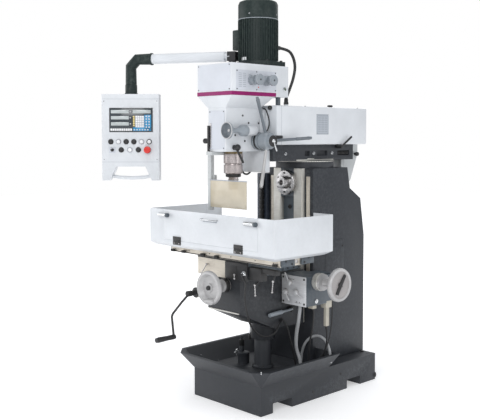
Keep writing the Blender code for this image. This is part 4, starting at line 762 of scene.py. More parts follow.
def dress_head():
    head = "ram_and_head"
    keep(casting("gearbox_casing", 0.003), "gearbox_casing_skin", head, WHITE, "gearbox_casing")
    low, high, half = 1.6365, 1.6565, 0.1332
    keep(joined(block((-half, -0.5542, low), (half, -0.5528, high), 0.0004, 1),
                block((0.1318, -0.5535, low), (half, -0.233, high), 0.0004, 1),
                block((-half, -0.5535, low), (-0.1318, -0.233, high), 0.0004, 1)), "head_stripe", head, MAGENTA)
    keep(block((-0.126, -0.554, 1.6605), (0.122, -0.5526, 1.7955), 0.0004, 1), "head_front_plate", head, PLATE)
    screws("front_plate_screw", [(x, -0.554, z) for z in (1.6665, 1.7895) for x in (-0.12, 0.116)], -Y, 0.0032,
           0.0016, head)
    keep(block((0.1316, -0.523, 1.662), (0.1332, -0.233, 1.766), 0.0004, 1), "head_side_plate", head, PLATE)
    screws("side_plate_screw", [(0.1332, y, z) for z in (1.668, 1.76) for y in (-0.517, -0.378, -0.239)], X,
           0.0032, 0.0016, head)
    bars = [block((0.133, y, z), (0.1336, y + 0.022, z + 0.003), 0) for y in (-0.505, -0.476)
            for z in [1.68 + 0.0095 * k for k in range(8)]]
    keep(joined(*bars), "speed_chart", head, LABEL)
    keep(turned([(0.0035, 0), (0.0035, 0.0008)], (0.133, -0.365, 1.6805), X, 16), "speed_index", head, RED)
    keep(turned([(0.011, -0.001), (0.011, 0.005), (0.008, 0.007), (0.0075, 0.0045)], (0.132, -0.17, 1.678), X),
         "oil_sight_ring", head, CHROME)
    keep(turned([(0.0074, 0), (0.0074, 0.0042)], (0.1325, -0.17, 1.678), X), "oil_sight_glass", head, OIL_GLASS)
    keep(casting("quill_housing", 0.003), "quill_housing_skin", head, WHITE, "quill_housing")
    keep(block((-0.06, -0.535, 1.36), (0.058, -0.5336, 1.56), 0.0004, 1), "housing_front_plate", head, PLATE)
    screws("housing_plate_screw", [(x, -0.535, z) for z in (1.366, 1.554) for x in (-0.054, 0.052)], -Y, 0.003,
           0.0015, head)
    places = ((-0.4165, 1.5354), (-0.374, 1.4976), (-0.3, 1.4968), (-0.4012, 1.4027), (-0.47, 1.4333))
    screws("housing_screw", [(0.068, y, z) for y, z in places], X, 0.0052, 0.0025, head)
    keep(block((-0.0555, -0.5372, 1.37), (-0.043, -0.5348, 1.495), 0.0006), "depth_scale", head, STEEL)
    ticks = [block((-0.0545, -0.5376, 1.376 + 0.005 * k),
                   (-0.05 if k % 2 else -0.0465, -0.5371, 1.3765 + 0.005 * k), 0) for k in range(24)]
    keep(joined(*ticks), "depth_scale_marks", head, OXIDE)
    keep(turned([(0.007, 0), (0.007, 0.036), (0.012, 0.042), (0.014, 0.05), (0.014, 0.062), (0.01, 0.066)],
                (-0.068, -0.505, 1.403), -X), "depth_stop_knob", head, BLACK)
    keep(joined(ball((0.105, -0.252, 1.579), 0.0125), rod((0.105, -0.25, 1.579), (0.105, -0.2, 1.579), 0.005)),
         "cover_knob", head, BLACK)
    keep(pipe([(0.066, -0.262, 1.574), (0.086, -0.268, 1.572), (0.102, -0.27, 1.552), (0.106, -0.258, 1.505),
               (0.104, -0.268, 1.462), (0.086, -0.285, 1.44), (0.06, -0.3, 1.434)], 0.0036), "feed_switch_wire",
         head, RUBBER)
    for x, name in ((0.1, "head_stay"), (-0.1, "head_stay_left")):
        keep(rod((x, -0.185, 1.592), (x, -0.185, 1.636), 0.013), name, head, SLATE)
    keep(casting("chuck_guard_post", 0.002), "guard_post_skin", head, PALE, "chuck_guard_post")
    keep(turned([(0.02, 0), (0.022, 0.003), (0.022, 0.07), (0.02, 0.073)], (-0.093, -0.4835, 1.15), Z),
         "shield_spring_housing", head, PALE)
    keep(casting("chuck_shield", 0.0008), "chuck_shield_skin", "shield", SHIELD, "chuck_shield")
    keep(block((-0.088, -0.5168, 1.057), (-0.074, -0.5108, 1.2), 0.001), "shield_edge_strip", "shield", PALE)
    keep(block((-0.074, -0.5162, 1.1965), (0.2005, -0.5114, 1.201), 0.0006), "shield_top_strip", "shield",
         LABEL)


def dress_spindle():
    spots = ((OXIDE, lambda c, n: c.x < -0.0535 and c.z > 1.336),
             (PALE, lambda c, n: c.y < -0.47 and c.z < 1.35))
    keep(casting("quill_sleeve", 0.0012), "quill_skin", "quill", CHUCK, "quill_sleeve", spots=spots)
    keep(casting("collet_chuck", 0.0012), "chuck_skin", "spindle", CHUCK, "collet_chuck")
    keep(turned([(0.047, 0), (0.05, 0.002), (0.05, 0.044), (0.048, 0.0455)], (0, SPINDLE_Y, 1.233), Z, 48),
         "chuck_sleeve", "spindle", CHUCK)
    lobes = [turned([(0.035, 0), (0.037, 0.002), (0.037, 0.016), (0.034, 0.019)], (0, SPINDLE_Y, 1.213), Z, 32)]
    for k in range(8):
        a = math.radians(45 * k + 10)
        lobe = block((0.034, -0.006, 1.215), (0.04, 0.006, 1.229), 0.001)
        lobes.append(spun(lobe, (0, SPINDLE_Y, 0), a))
    keep(joined(*lobes), "chuck_nut", "spindle", OXIDE)
    rings = [turned([(0.0262, 0), (0.0285, 0.001), (0.0285, 0.004), (0.0262, 0.005)], (0, SPINDLE_Y, z), Z, 32)
             for z in (1.156, 1.176, 1.196)]
    keep(joined(*rings), "collet_rings", "spindle", STEEL)
    for number, side in enumerate((-1, 1), 1):
        keep(block((side * 0.034 - 0.009, -0.4275, 1.277), (side * 0.034 + 0.009, -0.4125, 1.2836), 0.0008),
             f"spindle_dog_{number}", "spindle", OXIDE)
    keep(turned([(0.0478, 0), (0.0492, 0.001), (0.0492, 0.0095), (0.0478, 0.0105)], (0, SPINDLE_Y, 1.3365), Z,
                48), "quill_collar_band", "quill", BRASS)
    keep(turned([(0.048, 0), (0.051, 0.002), (0.051, 0.0475), (0.049, 0.05)], (0, SPINDLE_Y, 1.285), Z, 48),
         "quill_collar", "quill", CHUCK)


def dress_motor():
    head = "ram_and_head"
    keep(casting("motor_body", 0.0015), "motor_body_skin", head, MOTOR, "motor_body")
    fins = []
    for k in range(44):
        a = math.radians(360 / 44 * k + 4)
        if math.cos(a - math.radians(180)) > 0.955 or math.cos(a - math.radians(55.5)) > 0.985:
            continue
        fin = block((0.0995, -0.0013, 1.832), (0.109, 0.0013, 2.048), 0.0008, 1)
        fins.append(spun(fin, (0, MOTOR_Y, 0), a))
    keep(joined(*fins), "motor_fins", head, MOTOR)
    keep(casting("motor_fan_cover", 0.0008), "fan_cover_skin", head, MOTOR, "motor_fan_cover")
    keep(turned([(0.1078, 0), (0.1088, 0.0008), (0.1088, 0.003), (0.1078, 0.0038)], (0, MOTOR_Y, 2.05), Z, 48),
         "fan_cover_rim", head, LEVER_GREY)
    grille = [turned([(r, 0), (r + 0.0015, 0.0016), (r - 0.0015, 0.003), (r - 0.0045, 0.0016)],
                     (0, MOTOR_Y, 2.149), Z, 40) for r in (0.03, 0.046, 0.062, 0.078)]
    keep(joined(*grille), "fan_cover_grille", head, OXIDE)
    for number, a in enumerate((-70, 20, 110, 200), 1):
        out = Vector((math.cos(math.radians(a)), math.sin(math.radians(a)), 0))
        keep(cap_screw(Vector((0, MOTOR_Y, 2.075)) + out * 0.1072, out, 0.004, 0.002),
             f"fan_cover_screw_{number}", head, CHROME)
    places = ((0.098, -0.16), (0.098, -0.268), (-0.098, -0.16), (0.04, -0.322), (-0.04, -0.322))
    screws("motor_flange_bolt", [(x, y, 1.8263) for x, y in places], Z, 0.008, 0.007, head)
    keep(block((-0.142, -0.293, 1.897), (-0.137, -0.189, 2.001), 0.002), "terminal_box_lid", head, MOTOR)
    keep(block((-0.016, -0.3415, 1.832), (0.016, -0.339, 1.848), 0.0005, 1), "motor_tag", head, WHITE_PLASTIC)


def dress_head_controls():
    for node, body in (("speed_lever_front", "speed_front"), ("speed_lever_rear", "speed_rear")):
        keep(casting(node, 0.001), node + "_skin", body, LEVER_GREY, node)
    for (y, tip), body in (((-0.414, (0.1583, -0.45, 1.738)), "speed_front"),
                           ((-0.315, (0.1583, -0.275, 1.728)), "speed_rear")):
        keep(rod((0.15, y, 1.716), Vector(tip) + Vector((0.004, -0.006 if y < -0.4 else 0.006, 0.003)), 0.0045),
             f"{body}_grip", body, LEVER_GREY)
        keep(turned([(0.0255, 0), (0.029, 0.002), (0.029, 0.013), (0.027, 0.0155)], (0.1845, y, 1.716), X, 40),
             f"{body}_disc", body, LEVER_GREY)
        keep(turned([(0.0045, 0), (0.0045, 0.0012)], (0.2, y, 1.716), X, 16), f"{body}_dot", body, OXIDE)
    spool = [(0.029, 0), (0.03, 0.002), (0.03, 0.028), (0.027, 0.035), (0.016, 0.044), (0.0125, 0.052),
             (0.0125, 0.094), (0.02, 0.103), (0.04, 0.121), (0.0425, 0.124), (0.0425, 0.134), (0.0412, 0.136),
             (0.0385, 0.1355), (0.034, 0.125), (0.026, 0.118), (0.01, 0.117)]
    # Painted light on the fine-feed wheel: its rim takes the lighter wheel finish as a painted highlight, and
    # the inside of its dish the darker lever copy as painted shade.
    spots = ((WHEEL, lambda c, n: c.y < -0.564), (LEVER_SHADE, lambda c, n: -0.564 < c.y < -0.545 and n.y < -0.2))
    keep(turned(spool, (0.105, -0.4293, 1.457), -Y, 48), "fine_feed_skin", "fine_feed", LEVER_GREY,
         "fine_feed_wheel", spots=spots, slot="steel")
    keep(turned([(0.008, -0.001), (0.008, 0.002), (0.006, 0.004)], (0.105, -0.5463, 1.457), -Y),
         "fine_feed_screw", "fine_feed", WHEEL, slot="steel")
    star = casting("quill_feed_star", 0.001)
    reach = lambda c: math.hypot(c.y - HUB_Y, c.z - HUB_Z)
    # Painted light on the feed star: the spokes above the hub take the darker lever copy as painted shade, and
    # the lower spoke the lighter wheel finish as a painted highlight.
    spots = ((LEVER_SHADE, lambda c, n: reach(c) > 0.05 and c.z > 1.36),
             (WHEEL, lambda c, n: reach(c) > 0.05 and c.z <= 1.36))
    keep(star, "feed_star_skin", "feed_star", LEVER_GREY, "quill_feed_star", spots=spots, slot="steel")
    for name, low, high, wide, material in (("scale", 0.013, 0.025, 0.0448, OXIDE),
                                            ("collar", 0.042, 0.044, 0.0446, SLATE),
                                            ("nose", 0.1165, 0.12, 0.03, OXIDE)):
        keep(turned([(wide - 0.002, low), (wide, low + 0.0005), (wide, high - 0.0005), (wide - 0.002, high)],
                    (0.0683, HUB_Y, HUB_Z), X, 48), "feed_hub_" + name, "feed_star", material, slot="steel")
    root = Vector((0.0683 + 0.079, HUB_Y, HUB_Z))
    for k in range(3):
        a = math.radians(3.5 + 120 * k)
        out = Vector((0, math.cos(a), math.sin(a)))
        way = out * 0.264 + X * 0.069
        # The lower grip (k == 2) takes the lighter wheel finish as a painted highlight, and the upper grips the
        # darker lever copy as painted shade.
        keep(turned([(0.0082, 0), (0.0095, 0.004), (0.0088, 0.06), (0.0098, 0.084), (0.0075, 0.09)],
                    root + way * 0.64, way, 20), f"feed_grip_{k + 1}", "feed_star", WHEEL if k == 2 else LEVER_SHADE)
        keep(turned([(0.0115, 0), (0.0115, 0.01), (0.009, 0.014)], root + way * 0.15, way, 20),
             f"feed_boss_{k + 1}", "feed_star", LEVER_GREY, slot="steel")
    for k in range(3):
        a = math.radians(63.5 + 120 * k)
        place = Vector((0.1853, HUB_Y + 0.021 * math.cos(a), HUB_Z + 0.021 * math.sin(a)))
        keep(cap_screw(place, X, 0.004, 0.0025), f"feed_hub_screw_{k + 1}", "feed_star", OXIDE)
    keep(joined(ball((0.188, HUB_Y, HUB_Z), 0.012), rod((0.19, HUB_Y, HUB_Z), (0.2, -0.296, 1.35), 0.0042)),
         "feed_clutch_lever", "feed_star", CHROME)
    keep(casting("quill_clamp_lever", 0.0008), "quill_clamp_skin", "quill_clamp", BLACK, "quill_clamp_lever")
    keep(ball((0.095, -0.478, 1.37), 0.017), "quill_clamp_knob", "quill_clamp", BLACK)


# ---- pendant ----

ARM_ANGLE, TURN = math.radians(207.5), math.radians(45.5)
ARM_END = Vector((ARM_FOOT[0] + ARM_REACH * math.cos(ARM_ANGLE), ARM_FOOT[1] + ARM_REACH * math.sin(ARM_ANGLE),
                  1.664))
FACE = -0.045  # the front of the pendant's case, from its own centre
PANEL = Matrix.Translation(ARM_END) @ Matrix.Rotation(TURN, 4, "Z")


def on_panel(obj):
    """Moves a piece drawn about the pendant's own top centre, its front towards -Y, to the pendant."""
    obj.matrix_world = PANEL @ obj.matrix_world
    settle(obj)
    return obj


def panel_block(x, z, half_x, half_z, proud, edge=0.0006, sunk=0.001):
    return on_panel(block((x - half_x, FACE - proud, z - half_z), (x + half_x, FACE + sunk, z + half_z), edge))


def dress_pendant():
    boom, body = "pendant_boom", "pendant"
    arm = casting("pendant_arm", 0.0)
    elbow, pivot = Vector((ARM_END.x, ARM_END.y, 0)), Vector((*ARM_FOOT, 0))
    spots = ((MOTOR, lambda c, n: (Vector((c.x, c.y, 0)) - elbow).length < 0.078),
             (BLACK, lambda c, n: (Vector((c.x, c.y, 0)) - pivot).length < 0.0355))
    keep(arm, "pendant_arm_skin", boom, WHITE, "pendant_arm", angle=40, spots=spots)
    along = Vector((math.cos(ARM_ANGLE), math.sin(ARM_ANGLE), 0))
    start = Vector((*ARM_FOOT, 1.858))
    keep(turned([(0.0275, 0.04), (0.0278, 0.045), (0.0278, 0.48), (0.0275, 0.485)], start, along, 40),
         "boom_tube", boom, WHITE)
    thick = 0.0315
    bend = start + along * ARM_REACH
    elbow_line = [start + along * 0.478, bend - along * 0.04, bend - Z * 0.04, bend - Z * 0.136]
    keep(pipe(elbow_line, thick, resolution=7, curved=False), "boom_elbow", boom, MOTOR)
    keep(turned([(thick, 0), (thick + 0.0025, 0.003), (thick + 0.0025, 0.01), (thick, 0.013)],
                start + along * 0.472, along, 36), "boom_collar", boom, MOTOR)
    keep(turned([(0.033, 0), (0.0335, 0.002), (0.0335, 0.046), (0.031, 0.05)], ARM_END + Z * 0.006, Z, 36),
         "boom_swivel", boom, MOTOR)
    keep(cap_screw(bend - Z * 0.166 + Vector((0.02, -0.0265, 0)), Vector((0.6, -0.8, 0)), 0.0045, 0.002),
         "boom_swivel_screw", boom, OXIDE)
    keep(casting("pendant_pivot_post", 0.001), "pivot_post_skin", "ram_and_head", BLACK, "pendant_pivot_post")
    keep(casting("pendant_case", 0.0022, 2), "pendant_case_skin", body, WHITE, "pendant_case",
         spots=((MOTOR, lambda c, n: c.z > 1.6645),))
    keep(on_panel(turned([(0.037, 0), (0.037, 0.005), (0.032, 0.009)], (0, 0, 0.0), Z)), "pendant_flange", body,
         MOTOR)
    mid_z = -0.145
    keep(panel_block(0.004, mid_z, 0.1215, 0.0675, 0.0026, 0.001), "display_bezel", body, BLACK)
    keep(panel_block(0.004, mid_z, 0.118, 0.064, 0.0034, 0.0004), "display_face", body, SCREEN)
    for k in range(3):
        keep(panel_block(-0.058, mid_z + 0.0465 - 0.034 * k, 0.05, 0.0092, 0.0042, 0.0005),
             f"axis_readout_{k + 1}", body, READOUT)
    bars = [panel_block(0.0005, mid_z + 0.0465 - 0.034 * k, 0.004, 0.003, 0.004, 0.0004) for k in range(3)]
    keep(joined(*bars), "axis_keys", body, GREY_PLASTIC)
    keep(panel_block(0.064, mid_z + 0.0465, 0.05, 0.0092, 0.0042, 0.0005), "title_window", body, READOUT)
    keys = [panel_block(-0.106 + 0.0123 * j, mid_z - 0.054, 0.0052, 0.0062, 0.0044, 0.0005) for j in range(10)]
    keep(joined(*keys), "display_key_row", body, WHITE_PLASTIC)
    keep(joined(panel_block(0.098, mid_z - 0.015, 0.019, 0.044, 0.0038, 0.0005),
                panel_block(0.066, mid_z - 0.051, 0.051, 0.01, 0.0038, 0.0005)), "blue_key_field", body, BLUE)
    keys = [panel_block(0.02 + 0.0001 * j, mid_z + 0.018 - 0.012 * j, 0.0048, 0.0048, 0.0044, 0.0005)
            for j in range(5)]
    keep(joined(*keys), "yellow_key_column", body, YELLOW)
    keep(panel_block(0.053, mid_z - 0.009, 0.0255, 0.033, 0.0038, 0.0005), "keypad_field", body, GREY_PLASTIC)
    keys = [panel_block(0.035 + 0.012 * i, mid_z + 0.018 - 0.013 * j, 0.0046, 0.0048, 0.005, 0.0006)
            for i in range(4) for j in range(5)]
    keep(joined(*keys), "keypad_keys", body, WHITE_PLASTIC)
    keys = [panel_block(0.09 + 0.0155 * i, mid_z + 0.02 - 0.015 * j, 0.0042, 0.0042, 0.0044, 0.0005)
            for i in range(2) for j in range(5)]
    keys += [panel_block(0.023 + 0.015 * i, mid_z - 0.054, 0.0042, 0.0038, 0.0044, 0.0005) for i in range(6)]
    keep(joined(*keys), "function_keys", body, PLATE, slot="white_plastic")
    rows = (((-0.11, BLACK), (-0.067, WHITE_PLASTIC), (-0.024, BLACK), (0.019, BLACK), (0.062, WHITE_PLASTIC),
             (0.105, WHITE_PLASTIC)), ((-0.052, BLACK), (-0.004, WHITE_PLASTIC), (0.044, BLACK)))
    buttons = [(drop, x, colour) for drop, row in zip((0.2665, 0.312), rows) for x, colour in row]
    for number, (drop, x, colour) in enumerate(buttons, 1):
        ring = turned([(0.015, 0.0002), (0.015, 0.0032), (0.0132, 0.0046), (0.0112, 0.0046), (0.0109, 0.0018)],
                      (x, FACE, -drop), -Y, 32)
        rim = BLACK if colour is BLACK or x > 0.1 else GREY_PLASTIC
        keep(on_panel(ring), f"button_bezel_{number}", body, rim, slot="black_plastic")
        keep(casting(f"push_button_{number}", 0.0006), f"push_button_{number}_skin", f"button_{number}", colour,
             f"push_button_{number}", slot="white_plastic")
    keep(on_panel(turned([(0.0195, 0.0002), (0.0195, 0.0024), (0.017, 0.0036), (0.0105, 0.0036)],
                         (0.096, FACE, -0.312), -Y, 32)), "stop_collar", body, LEVER_GREY, slot="black_plastic")
    keep(casting("emergency_stop", 0.0012, 3), "emergency_stop_skin", "e_stop", RED, "emergency_stop")
    keep(panel_block(-0.102, -0.312, 0.0175, 0.0175, 0.0024, 0.0008), "jog_plate", body, PLATE,
         slot="white_plastic")
    keep(casting("jog_lever", 0.0006), "jog_lever_skin", "jog", BLACK, "jog_lever")
    keep(on_panel(turned([(0.004, 0), (0.006, 0.003), (0.0055, 0.008), (0.003, 0.011)],
                         (-0.102, FACE - 0.024, -0.303), Vector((0, -0.93, 0.36)), 20)), "jog_lever_tip", "jog",
         GREY_PLASTIC)
    for name, z in (("upper", -0.0275), ("lower", -0.38)):
        keep(on_panel(block((-0.159, FACE - 0.0003, z - 0.0007), (0.159, FACE + 0.0006, z + 0.0007), 0)),
             f"pendant_{name}_joint", body, LABEL)
    corners = [(x, FACE, z) for z in (-0.04, -0.366) for x in (-0.148, 0.148)]
    for number, place in enumerate(corners, 1):
        keep(on_panel(cap_screw(place, -Y, 0.003, 0.0014)), f"pendant_screw_{number}", body, CHROME)
    back = [on_panel(block((-0.06 + 0.017 * k, 0.044, -0.2), (-0.052 + 0.017 * k, 0.0462, -0.09), 0.0008))
            for k in range(8)]
    keep(joined(*back), "pendant_back_louvres", body, WHITE)


# ---- knee, gearbox and handwheels ----

def dress_knee():
    body = "knee"
    keep(casting("knee_casting", 0.004, 3), "knee_skin", body, KNEE_DARK, "knee_casting")
    keep(casting("knee_leadscrew", 0), "knee_leadscrew_skin", body, STEEL, "knee_leadscrew")
    # A thin strip along the knee's lower front edge, finished in bright ground iron as a painted highlight on
    # that edge.
    keep(block((-0.118, -0.4935, 0.506), (0.118, -0.488, 0.513), 0.0012), "knee_lower_edge_highlight", body, GROUND)
    keep(joined(turned([(0.0105, 0), (0.0112, 0.003), (0.0112, 0.096), (0.008, 0.1)], (0.14, -0.289, 0.476),
                       Vector((0, 0.999, 0.05)), 24),
                rod((0.14, -0.192, 0.4808), (0.14, -0.11, 0.485), 0.0066)), "knee_clamp_lever", body,
         LEVER_GREY)
    keep(turned([(0.016, 0), (0.016, 0.016), (0.012, 0.02)], (0.1245, -0.115, 0.485), X), "knee_clamp_boss",
         body, OXIDE)
    keep(block((-0.1262, -0.3, 0.56), (-0.1245, -0.06, 0.65), 0.0006), "knee_side_cover", body, KNEE_DARK)
    for side, name in ((-1, "left"), (1, "right")):
        keep(rod((side * 0.124, -0.35, 0.64), (side * 0.1275, -0.35, 0.64), 0.006), f"knee_plug_{name}", body,
             OXIDE)
    left, top = 0.1253, 0.6865
    keep(casting("feed_gearbox", 0.003), "feed_gearbox_skin", body, SLATE, "feed_gearbox", slot="grey_paint")
    keep(block((left + 0.002, -0.1815, 0.5275), (left + 0.177, -0.1775, top - 0.001), 0.001),
         "gearbox_front_plate", body, SATIN)
    corners = [(x, -0.1815, z) for z in (0.541, top - 0.014) for x in (left + 0.014, left + 0.165)]
    screws("gearbox_screw", corners, -Y, 0.006, 0.0025, body)
    lines = [block((left + 0.1 + 0.01 * k, -0.182, 0.541),
                   (left + 0.1035 + 0.01 * k, -0.1812, 0.5445 + 0.006 * (k % 2)), 0) for k in range(5)]
    lines += [block((left + 0.05 + 0.012 * k, -0.182, 0.664), (left + 0.057 + 0.012 * k, -0.1812, 0.6665), 0)
              for k in range(4)]
    keep(joined(*lines), "feed_chart_marks", body, OXIDE)
    for k, (x, z) in enumerate(((0.063, -0.04), (0.034, -0.094), (0.111, -0.089)), 1):
        node, rides = f"feed_lever_{k}", f"feed_selector_{k}"
        keep(casting(node, 0.0008), node + "_skin", rides, SATIN, node)
        keep(turned([(0.0168, 0.0042), (0.0186, 0.005), (0.0186, 0.0085), (0.016, 0.015)],
                    (left + x, -0.1783, top + z), -Y, 32), node + "_hub", rides, WHEEL)
    keep(joined(turned([(0.013, 0), (0.013, 0.004), (0.01, 0.006)], (0.304, -0.102, 0.55), X),
                rod((0.3095, -0.102, 0.55), (0.3125, -0.102, 0.55), 0.005, sides=6)), "gearbox_oil_plug", body,
         CHROME)
    keep(block((0.262, -0.12, 0.508), (0.298, -0.09, 0.5285), 0.003), "gearbox_connector_front", body, BEIGE)
    keep(joined(block((0.262, -0.018, 0.498), (0.302, 0.032, 0.54), 0.004),
                block((0.272, -0.004, 0.395), (0.292, 0.022, 0.5), 0.003)), "gearbox_connector_rear", body,
         BEIGE)
    keep(rod((0.282, 0.009, 0.398), (0.282, 0.009, 0.38), 0.008), "gearbox_connector_gland", body, BLACK)
    keep(block((0.187, -0.085, 0.686), (0.29, 0.044, 0.6875), 0.0005), "gearbox_top_cover", body, SLATE,
         slot="grey_paint")


def dress_wheels():
    keep(casting("cross_leadscrew", 0), "cross_leadscrew_skin", "cross_wheel", STEEL, "cross_leadscrew")
    keep(casting("cross_handwheel", 0.0012), "cross_handwheel_skin", "cross_wheel", WHEEL, "cross_handwheel")
    keep(turned([(0.011, 0), (0.012, 0.002), (0.012, 0.01), (0.009, 0.014), (0.006, 0.015)],
                (0.023, -0.612, 0.65), -Y), "cross_wheel_nut", "cross_wheel", OXIDE)
    keep(turned([(0.0345, 0.004), (0.0365, 0.006), (0.0365, 0.03), (0.0345, 0.032)], CROSS_HUB, -Y, 48),
         "cross_wheel_dial", "cross_wheel", OXIDE, slot="bare_iron")
    keep(casting("table_handwheel", 0.0012), "table_handwheel_skin", "table_wheel", WHEEL, "table_handwheel")
    start = Vector((0.3046, -0.096, 0.656))
    keep(turned([(0.0445, 0.004), (0.0465, 0.006), (0.0465, 0.034), (0.044, 0.036)], start, X, 48),
         "table_wheel_dial", "table_wheel", GROUND)
    for name, place, axis, radius in (("cross", Vector(CROSS_HUB), -Y, 0.0366), ("table", start, X, 0.0466)):
        ticks = []
        turn = axis.to_track_quat("Z", "Y").to_matrix().to_4x4()
        for k in range(40):
            long = 0.01 if k % 5 == 0 else 0.006
            tick = block((radius - 0.0004, -0.0004, 0.028 - long), (radius + 0.0002, 0.0004, 0.028), 0)
            tick.matrix_world = Matrix.Translation(place) @ turn @ Matrix.Rotation(math.radians(9 * k), 4, "Z")
            settle(tick)
            ticks.append(tick)
        keep(joined(*ticks), f"{name}_dial_marks", f"{name}_wheel", CHROME if name == "cross" else OXIDE)
    face = start + X * 0.161
    keep(turned([(0.078, -0.001), (0.08, 0.001), (0.08, 0.005), (0.076, 0.0062), (0.03, 0.003)],
                start + X * 0.156, X, 48), "table_wheel_face", "table_wheel", WHEEL_FACE)
    keep(joined(rod(face + Vector((0.0, 0.036, 0.05)), face + Vector((0.0, -0.03, -0.05)), 0.01, 0.003),
                turned([(0.014, 0), (0.014, 0.012), (0.01, 0.016)], face + Vector((-0.008, 0, 0)), X),
                block(face + Vector((-0.004, -0.01, -0.012)), face + Vector((0.008, 0.012, 0.012)), 0.003)),
         "table_wheel_handle", "table_wheel", BLACK)
    keep(casting("knee_crank", 0.0006), "knee_crank_skin", "crank", OXIDE, "knee_crank")
    low = Vector((-0.1, -0.4903 - 0.255, 0.608 - 0.21))
    keep(turned([(0.0118, -0.004), (0.013, 0.006), (0.0122, 0.04), (0.0142, 0.1), (0.012, 0.116)],
                low + Y * 0.002, -Y, 24), "crank_grip", "crank", BLACK)
    keep(turned([(0.0262, 0), (0.0282, 0.002), (0.0282, 0.02), (0.0262, 0.022)], (-0.1, -0.5775, 0.608), -Y,
                40), "crank_dial", "crank", GROUND)
    keep(turned([(0.0152, 0), (0.0152, 0.026), (0.013, 0.028)], (-0.1, -0.63, 0.608), -Y, 24), "crank_socket",
         "crank", OXIDE)


# ---- saddle, table and guard ----

def dress_saddle():
    body = "saddle_body"
    keep(casting("saddle", 0.003), "saddle_skin", body, SCRAPED, "saddle",
         spots=((SLATE, lambda c, n: n.x > 0.5 and c.x > 0.12 and c.z > 0.68),))
    keep(block((0.195, -0.244, 0.717), (0.202, -0.116, 0.785), 0.002), "saddle_side_plate", body, SLATE)
    places = [(0.202, y, z) for z, row in ((0.772, (-0.225, -0.19, -0.15)), (0.728, (-0.215, -0.168, -0.128)))
              for y in row]
    screws("side_plate_bolt", places, X, 0.005, 0.0025, body)
    keep(block((0.03, -0.5095, 0.69), (0.1975, -0.4985, 0.779), 0.003), "feed_switch_box", body, BLACK)
    keep(block((0.044, -0.5112, 0.7), (0.122, -0.508, 0.762), 0.001), "feed_switch_cover", body, OXIDE,
         slot="black_plastic")
    keep(block((0.196, -0.5, 0.7), (0.29, -0.456, 0.765), 0.004), "feed_bracket", body, OXIDE,
         slot="black_plastic")
    keep(block((0.285, -0.495, 0.74), (0.386, -0.462, 0.766), 0.003), "feed_bracket_arm", body, OXIDE,
         slot="black_plastic")
    for number, (hub, tip) in enumerate((((-0.116, -0.508, 0.746), (-0.14, -0.524, 0.697)),
                                         ((0.106, -0.512, 0.7165), (0.115, -0.52, 0.6985)),
                                         ((0.254, -0.51, 0.681), (0.268, -0.52, 0.632)),
                                         ((0.374, -0.502, 0.714), (0.38, -0.514, 0.663))), 1):
        keep(ball_lever(hub, tip, 0.0026, 0.0054, 0.0062), f"saddle_lock_{number}", body, STEEL)
    keep(rod((0.254, -0.51, 0.681), (0.254, -0.47, 0.703), 0.0045), "saddle_lock_stud_3", body, OXIDE)
    keep(rod((0.374, -0.502, 0.714), (0.374, -0.48, 0.748), 0.0045), "saddle_lock_stud_4", body, OXIDE)
    keep(turned([(0.013, 0), (0.015, 0.003), (0.015, 0.01), (0.011, 0.018), (0.006, 0.022)],
                (0.182, -0.509, 0.7315), -Y, 24), "feed_switch_connector", body, CHROME)
    keep(block((-0.197, -0.503, 0.779), (0.197, -0.499, 0.7862), 0.001), "saddle_wiper", body, RUBBER)


